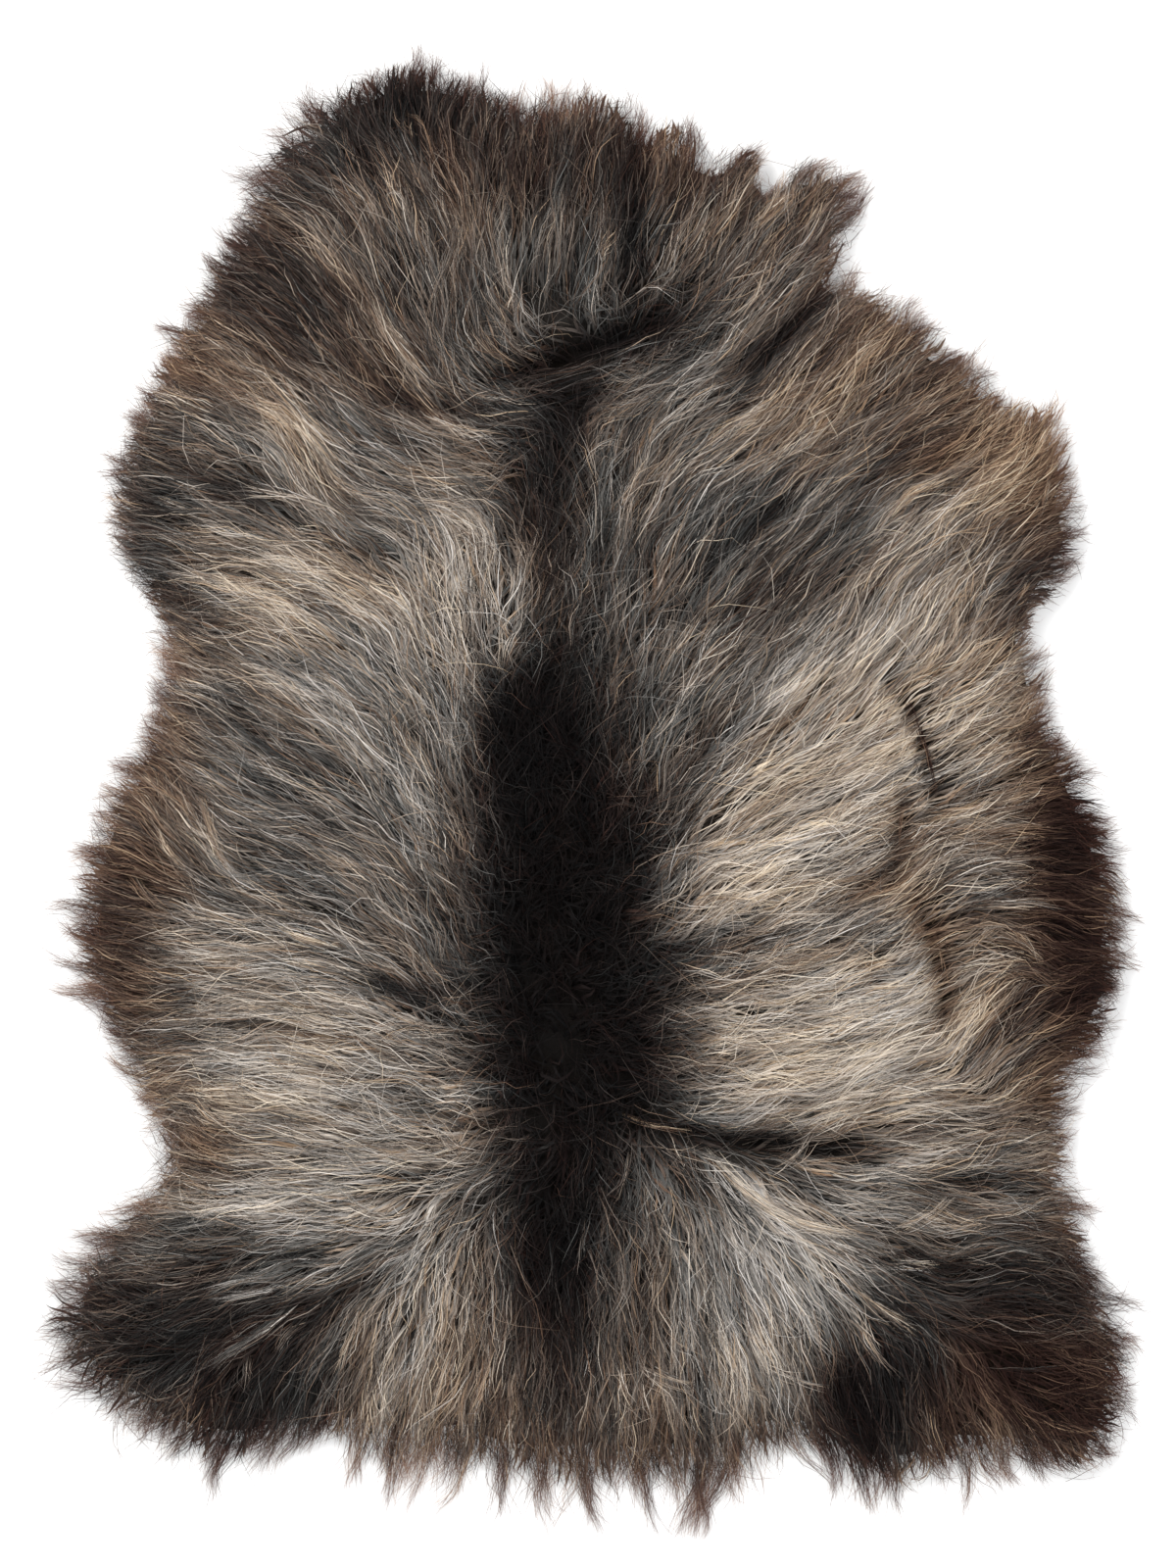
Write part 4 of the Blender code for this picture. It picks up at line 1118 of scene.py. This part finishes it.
# The guard hair: coarser and longest, lying over the coat in S-shaped bundles.
GUARD_HAIR = {
    **ANY_WOOL, "length": (0.082, 0.125), "rim_cut": 0.35, "wave_length": (0.04, 0.07),
    "wave_height": (0.0018, 0.0044), "phase_spread": 0.8, "stray": 6.0, "bend": 9.0, "sweep": 8.0,
    "points": (0.0, 0.26, 0.46, 0.65, 0.83, 1.0), "stagger": 0.25, "strand_length": (0.55, 0.93),
    "spread": 0.0026, "fan": 0.0034, "loose": 0.08, "gather": 0.7, "pointed": 0.2,
    "rim_reach": (-0.3, 0.8), "layer_power": 0.6, "root_depth": 0.01, "lift": 0.009,
    "tip_fall": 0.1, "roll": 30.0, "lock_rise": 0.003, "breadth": (0.0003, 0.0006),
}
guard_finish = wool_finish("guard hair", 0.40, 0.26, 0.15, 0.25)
guard_spots = rooted(0.0135, 51, lambda p: read(past_rim, p) < -0.012)
guard_hair = wool_piece("guard_hair", GUARD_HAIR, guard_spots, 17000, 52, guard_finish)

# The stray hair: single fine hairs, lying loose over the coat and curling off its line.
STRAY_HAIR = {
    **ANY_WOOL, "length": (0.034, 0.06), "rim_cut": 0.1, "wave_length": (0.022, 0.045),
    "wave_height": (0.0008, 0.003), "phase_spread": 3.0, "stray": 16.0, "bend": 26.0,
    "points": (0.0, 0.3, 0.55, 0.8, 1.0), "stagger": 0.1, "strand_length": (0.6, 1.0),
    "spread": 0.006, "fan": 0.006, "own_wave": (0.0004, 0.002), "loose": 0.3, "gather": 0.0,
    "rim_reach": (0.2, 1.2), "layer_power": 0.5, "root_depth": 0.004, "lift": 0.0095,
    "tip_fall": 0.0, "roll": 40.0, "lock_rise": 0.001, "breadth": (0.00022, 0.0004),
}
stray_finish = wool_finish("stray hair", 0.80, 0.12, 0.14, 0.28)
stray_spots = rooted(0.0085, 55, lambda p: read(past_rim, p) < -0.006)
stray_hair = wool_piece("stray_hair", STRAY_HAIR, stray_spots, 15500, 56, stray_finish)

# The laid locks: those that catch the eye, each laid where the real skin has it, pale over
# the coat or dark where the wool parts; the dark ones are mostly painted shade along the partings
# and folds. Each has its light, its warmth and its half width in tenths of a millimetre, then the
# places that it runs through from root to tip.
LAID_LOCKS = (
    (0.64, 0.6, 20, -94, 266, -120, 290, -145, 323, -155, 353),
    (0.6, 0.55, 16, -109, 281, -134, 315, -152, 336),
    (0.62, 0.65, 10, -179, 291, -190, 308, -198, 321),
    (0.52, 0.9, 8, -79, 447, -82, 460, -77, 475, -88, 489),
    (0.48, 0.9, 7, -94, 419, -109, 441, -118, 475, -134, 477),
    (0.48, 0.9, 7, -122, 453, -132, 472, -145, 483),
    (0.7, 0.55, 9, -119, 385, -128, 400, -130, 415, -134, 424, -147, 421),
    (0.56, 0.85, 7, -141, 412, -139, 432, -133, 450), (0.58, 0.4, 9, -98, 336, -96, 366, -86, 402),
    (0.58, 0.4, 9, -115, 311, -113, 343, -94, 385, -92, 415),
    (0.6, 0.75, 13, -64, 325, -58, 340, -51, 353),
    (0.62, 0.25, 9, -55, 268, -69, 287, -88, 302, -95, 325),
    (0.64, 0.22, 10, -28, 308, -43, 315, -52, 332, -51, 344),
    (0.55, 0.65, 9, -167, 310, -171, 332, -173, 343),
    (0.6, 0.8, 16, -216, 268, -231, 272, -247, 279, -265, 285),
    (0.6, 0.5, 18, -152, 264, -171, 274, -192, 289, -216, 304),
    (0.36, 1.0, 7, -160, 392, -179, 409, -201, 426),
    (0.8, 0.72, 26, -186, 205, -194, 220, -210, 256, -229, 270, -253, 279),
    (0.78, 0.66, 22, -172, 219, -190, 244, -202, 256, -218, 268),
    (0.74, 0.6, 14, -158, 234, -172, 248, -182, 250, -190, 258),
    (0.8, 0.5, 14, -166, 181, -182, 195, -202, 202, -225, 207, -251, 210),
    (0.84, 0.7, 24, -162, 146, -186, 150, -217, 153, -227, 161, -231, 169),
    (0.76, 0.65, 18, -174, 169, -194, 177, -211, 177, -215, 186),
    (0.86, 0.72, 30, -192, 110, -210, 124, -233, 134, -247, 142, -251, 150),
    (0.84, 0.7, 20, -215, 122, -240, 132, -262, 146, -273, 151),
    (0.82, 0.66, 18, -170, 128, -186, 142, -210, 146, -229, 144),
    (0.52, 0.75, 7, -99, 240, -94, 250, -99, 260), (0.6, 0.75, 12, -281, 231, -292, 240, -302, 248),
    (0.64, 0.65, 12, -243, 225, -251, 240, -265, 250),
    (0.7, 0.4, 12, -269, 191, -290, 197, -312, 205),
    (0.66, 0.3, 12, -261, 162, -296, 175, -318, 183),
    (0.52, 0.55, 12, 24, 172, 25, 197, 33, 221, 45, 236),
    (0.05, 0.3, 13, -18, 301, 10, 311, 38, 320, 62, 330),
    (0.46, 0.5, 11, -24, 300, -44, 305, -58, 316, -62, 334),
    (0.44, 0.55, 9, -36, 297, -56, 301, -74, 312, -82, 330),
    (0.05, 0.5, 16, -46, 301, -62, 309, -74, 324), (0.07, 0.4, 15, -112, 266, -130, 270, -148, 277),
    (0.4, 0.2, 10, -6, 300, 14, 304, 36, 314, 64, 324),
    (0.19, 0.2, 32, -54, 285, -34, 292, -12, 295, 10, 303),
    (0.14, 0.2, 34, -42, 275, -24, 283, -6, 288, 16, 296),
    (0.08, 0.2, 32, -34, 266, -16, 275, 2, 280, 16, 286),
    (0.1, 0.2, 30, -10, 262, -8, 280, -4, 296),
    (0.64, 0.2, 8, 83, 268, 95, 272, 108, 284, 118, 296),
    (0.66, 0.45, 8, 93, 262, 106, 258, 118, 266, 136, 276),
    (0.66, 0.85, 22, 186, 280, 191, 296, 201, 308, 209, 318),
    (0.62, 0.75, 20, 170, 266, 181, 284, 191, 298),
    (0.55, 0.9, 10, 100, 375, 120, 395, 142, 418, 160, 430),
    (0.55, 0.9, 10, 110, 389, 134, 414, 150, 426), (0.6, 0.65, 16, 4, 369, 11, 383, 21, 397),
    (0.74, 0.85, 16, 215, 197, 229, 207, 249, 215, 268, 222),
    (0.7, 0.85, 18, 243, 161, 249, 177, 256, 197),
    (0.84, 0.8, 24, 202, 113, 211, 131, 227, 151, 243, 167),
    (0.82, 0.75, 14, 235, 117, 243, 141, 247, 151), (0.8, 0.85, 14, 256, 86, 262, 113, 266, 139),
    (0.78, 0.85, 12, 268, 113, 275, 139, 276, 159), (0.66, 0.8, 10, 284, 126, 282, 140, 281, 154),
    (0.66, 0.8, 12, 300, 124, 311, 136, 317, 146), (0.72, 0.9, 12, 252, 184, 271, 202, 289, 204),
    (0.7, 0.9, 14, 210, 179, 226, 206, 254, 218), (0.62, 1.0, 12, 321, 184, 327, 206, 331, 220),
    (0.68, 0.45, 14, 84, -5, 100, 7, 115, 19), (0.8, 0.75, 16, 230, 74, 242, 86, 252, 106),
    (0.72, 0.55, 10, 202, 34, 208, 43, 214, 52), (0.6, 0.85, 6, 329, 11, 337, 4, 348, 7),
    (0.62, 0.75, 10, 299, -17, 321, -7, 325, 1), (0.72, 0.75, 12, 252, -40, 281, -35, 299, -29),
    (0.8, 0.5, 22, 74, -107, 86, -98, 99, -86, 111, -78),
    (0.78, 0.65, 14, 113, -136, 128, -125, 138, -113, 148, -103),
    (0.66, 0.6, 6, 142, -109, 143, -100, 143, -91),
    (0.88, 0.72, 24, 254, -195, 262, -179, 274, -165, 285, -152),
    (0.84, 0.7, 18, 256, -167, 266, -157, 285, -150),
    (0.7, 0.7, 14, 285, -158, 291, -138, 303, -125, 315, -125),
    (0.74, 0.7, 16, 268, -125, 278, -113, 289, -105, 299, -101),
    (0.62, 0.75, 16, 299, -101, 311, -111, 326, -127),
    (0.62, 0.35, 10, 260, -82, 293, -86, 322, -84, 342, -90),
    (0.7, 0.85, 14, 280, -231, 293, -216, 307, -204, 320, -193),
    (0.62, 0.75, 14, 268, -280, 285, -266, 297, -247, 309, -232),
    (0.7, 0.5, 16, 123, -282, 140, -272, 152, -262, 161, -245),
    (0.78, 0.6, 18, 169, -257, 181, -245, 198, -228), (0.72, 0.35, 12, -176, -13, -192, 0, -205, 6),
    (0.66, 0.3, 24, -123, -16, -125, -2, -128, 12),
    (0.64, 0.55, 12, -91, -101, -102, -89, -114, -81),
    (0.68, 0.35, 16, -118, -70, -121, -58, -125, -46),
    (0.62, 0.7, 14, -246, -73, -264, -48, -275, -17, -277, -2),
    (0.58, 0.7, 14, -281, -66, -300, -48, -310, -27),
    (0.5, 0.75, 10, -289, -101, -316, -79, -330, -60),
    (0.78, 0.7, 18, -163, -118, -182, -114, -207, -108, -225, -97),
    (0.74, 0.6, 12, -161, -360, -164, -385, -172, -403, -180, -425),
    (0.76, 0.65, 16, -141, -413, -145, -433, -149, -461),
    (0.6, 0.85, 18, -85, -425, -93, -445, -103, -459),
    (0.5, 0.8, 12, -56, -413, -62, -433, -72, -449), (0.55, 0.65, 10, 20, -411, 26, -433, 34, -449),
    (0.54, 0.6, 20, 28, -403, 38, -417, 59, -425, 79, -429),
    (0.5, 0.45, 10, -1, -302, -4, -322, -10, -352), (0.55, 0.8, 10, 16, -231, 38, -243, 79, -250),
    (0.8, 0.55, 16, 81, -259, 98, -278, 131, -305, 159, -317, 201, -322),
    (0.74, 0.6, 14, 201, -322, 222, -317, 243, -308, 264, -291),
    (0.7, 0.2, 12, 203, -343, 226, -341, 252, -345),
    (0.76, 0.45, 16, 161, -324, 173, -348, 180, -368),
    (0.74, 0.55, 8, 176, -340, 200, -368, 219, -380, 238, -393),
    (0.6, 0.55, 10, 196, -380, 200, -399, 214, -415, 224, -429),
    (0.66, 0.4, 14, 114, -408, 133, -417, 154, -427, 173, -431),
    (0.64, 0.6, 14, 105, -425, 121, -434, 133, -446),
    (0.36, 0.4, 8, 275, -415, 308, -417, 340, -415),
    (0.5, 0.95, 9, 238, -472, 229, -488, 220, -497, 231, -506, 239, -509),
    (0.55, 0.85, 6, 240, -470, 247, -489, 240, -500, 226, -499),
    (0.66, 0.15, 14, -206, -353, -233, -362, -259, -366, -273, -366),
    (0.6, 0.15, 10, -198, -338, -224, -353, -250, -353, -276, -364),
    (0.6, 0.2, 16, -203, -366, -231, -389, -252, -401, -276, -420),
    (0.56, 0.4, 12, -197, -380, -215, -390, -224, -409),
    (0.45, 0.5, 8, -240, -400, -242, -418, -244, -436),
    (0.45, 0.3, 6, -270, -380, -272, -395, -274, -410),
    (0.14, 1.0, 17, 222, 72, 233, 50, 240, 26, 247, 4, 250, -18),
    (0.36, 1.2, 14, 227, -6, 222, -28, 221, -48), (0.2, 1.1, 12, 240, -76, 235, -84, 229, -94),
    (0.4, 1.2, 16, 249, -104, 253, -132, 258, -158),
    (0.42, 1.2, 14, 196, -122, 200, -132, 204, -142), (0.03, 0.3, 14, 118, 296, 136, 318, 154, 345),
    (0.03, 0.2, 20, 115, 178, 138, 198, 157, 221), (0.05, 0.2, 12, 129, 125, 147, 145, 167, 168),
    (0.04, 0.2, 13, 173, 176, 188, 188, 204, 200), (0.03, 0.3, 10, 269, 108, 273, 128, 276, 147),
    (0.05, 0.6, 16, 302, 106, 309, 122, 318, 138), (0.06, 0.2, 11, 206, 95, 212, 105, 219, 115),
    (0.09, 0.2, 12, -157, -121, -178, -118, -200, -112),
)
# Laid locks this dark lie mostly along the partings and folds, as painted shade there.
DARK_AND_SHADE_LOCK = 0.44  # of light, and below
PALER_HELD_BACK = 0.25
laid_table = np.array([row[:3] for row in LAID_LOCKS])
laid_widths = laid_table[:, 2] / (10 * MILLIMETRES)
laid_dark_and_shade = laid_table[:, 0] < DARK_AND_SHADE_LOCK
laid_knots = [np.reshape(row[3:], (-1, 2)) / MILLIMETRES for row in LAID_LOCKS]
laid_steps = [np.linalg.norm(np.diff(knots, axis=0), axis=1) for knots in laid_knots]
laid_lengths = np.array([np.sum(steps) for steps in laid_steps])
LAID_WOOL = {
    "points": (0.0, 0.22, 0.42, 0.62, 0.82, 1.0), "stagger": 0.50, "strand_length": (0.45, 1.18),
    "spread": np.where(laid_dark_and_shade, 0.8, 1.7) * laid_widths * np.clip(laid_lengths / 0.04, 0.5, 1),
    "fan": 0.0020, "own_wave": (0.0002, 0.0012), "loose": 0.14, "gather": 0.3, "pointed": 0.2,
    "rim_reach": (5.0, 5.0), "shortest": 0.25, "layer_power": 0.5, "root_depth": 0.008,
    "lift": np.where(laid_dark_and_shade, 0.0135, 0.0095), "tip_fall": 0.1, "arch": 0.002, "roll": 22.0,
    "lock_rise": 0.0, "breadth": (0.00025, 0.0005), "cell": 4,
    "fullness": (0.9 * laid_lengths, 1.1 * laid_lengths),
}
laid_paths = []
for knots in laid_knots:
    knots = knots - TABLE_MIDDLE
    lengths = lengths_along(knots)
    wanted = np.linspace(0, lengths[-1], PATH_STEPS + 1)
    path = np.stack([np.interp(wanted, lengths, column) for column in knots.T], axis=1)
    for _pass in range(3):
        path[1:-1] = (path[:-2] + 2 * path[1:-1] + path[2:]) / 4
    laid_paths.append(path)
laid_paths = np.array(laid_paths)
laid_across = left_of(unit(np.gradient(laid_paths, axis=1)))
laid_shades = laid_table[:, :2]
paler = laid_shades[:, 0] - read(tones, laid_paths[:, PATH_STEPS // 2])[:, 0]
laid_shades[:, 0] -= PALER_HELD_BACK * np.maximum(paler, 0)
laid_finish = wool_finish("laid lock wool", 0.62, 0.10, 0.05, 0.26)
laid_locks = wool_piece(
    "laid_locks", LAID_WOOL, None, 3000, 82, laid_finish,
    (laid_paths, laid_across, np.zeros(len(laid_paths))), laid_shades,
)

# The rim: pointed tufts of fine dark wool that stand out all round, each drawn in to its tip, with
# short wisps between them, drooping to the floor.
RIM_TUFTS = {
    **ANY_WOOL, "length": (0.06, 0.1), "rim_cut": 0.0, "rim_gain": 0.5,
    "wave_length": (0.036, 0.07), "wave_height": (0.0006, 0.0036), "phase_spread": 2.0,
    "stray": 10.0, "bend": 17.0, "sweep": 22.0, "points": (0.0, 0.26, 0.48, 0.67, 0.85, 1.0),
    "stagger": 0.3, "strand_length": (0.5, 0.88), "spread": 0.0044, "fan": 0.0032,
    "own_wave": (0.0003, 0.002), "loose": 0.22, "gather": 0.68, "pointed": 0.45,
    "rim_reach": (0.5, 1.9), "shortest": 0.22, "layer_power": 1.2, "root_depth": 0.006,
    "lift": 0.005, "tip_fall": 0.5, "arch": 0.002, "roll": 35.0, "lock_rise": 0.002,
    "breadth": (0.00018, 0.00038), "fullness": (0.2, 1.8),
}
RIM_WISPS = {
    **RIM_TUFTS,
    "length": (0.038, 0.062), "stray": 16.0, "spread": 0.0044, "fan": 0.0056, "gather": 0.35,
    "pointed": 0.2, "rim_reach": (0.00, 1.20), "loose": 0.20, "breadth": (0.00020, 0.00042),
}
TUFT_EVERY = 0.009
TUFT_ROOT_IN = 0.020
TUFT_SHIFT = 0.010
rim_steps = np.linalg.norm(rim_line - np.roll(rim_line, 1, axis=0), axis=1)
tuft_rows = spaced(rim, int(np.sum(rim_steps) / TUFT_EVERY))
tuft_shift = np.random.default_rng(70).uniform(-TUFT_SHIFT, TUFT_SHIFT, tuft_rows[:, :2].shape)
tuft_spots = tuft_rows[:, :2] - TUFT_ROOT_IN * unit(tuft_rows[:, 3:5]) + tuft_shift
rim_finish = wool_finish("rim wool", 0.55, 0.04, 0.08, 0.20, ember=1.2)
rim_tufts = wool_piece("rim_tufts", RIM_TUFTS, tuft_spots, 12500, 72, rim_finish)
wisp_spots = rooted(
    0.0075, 61, lambda p: (read(past_rim, p) < -0.002) & (read(past_rim, p) > -0.034)
)
rim_wisps = wool_piece("rim_wisps", RIM_WISPS, wisp_spots, 14000, 62, rim_finish)
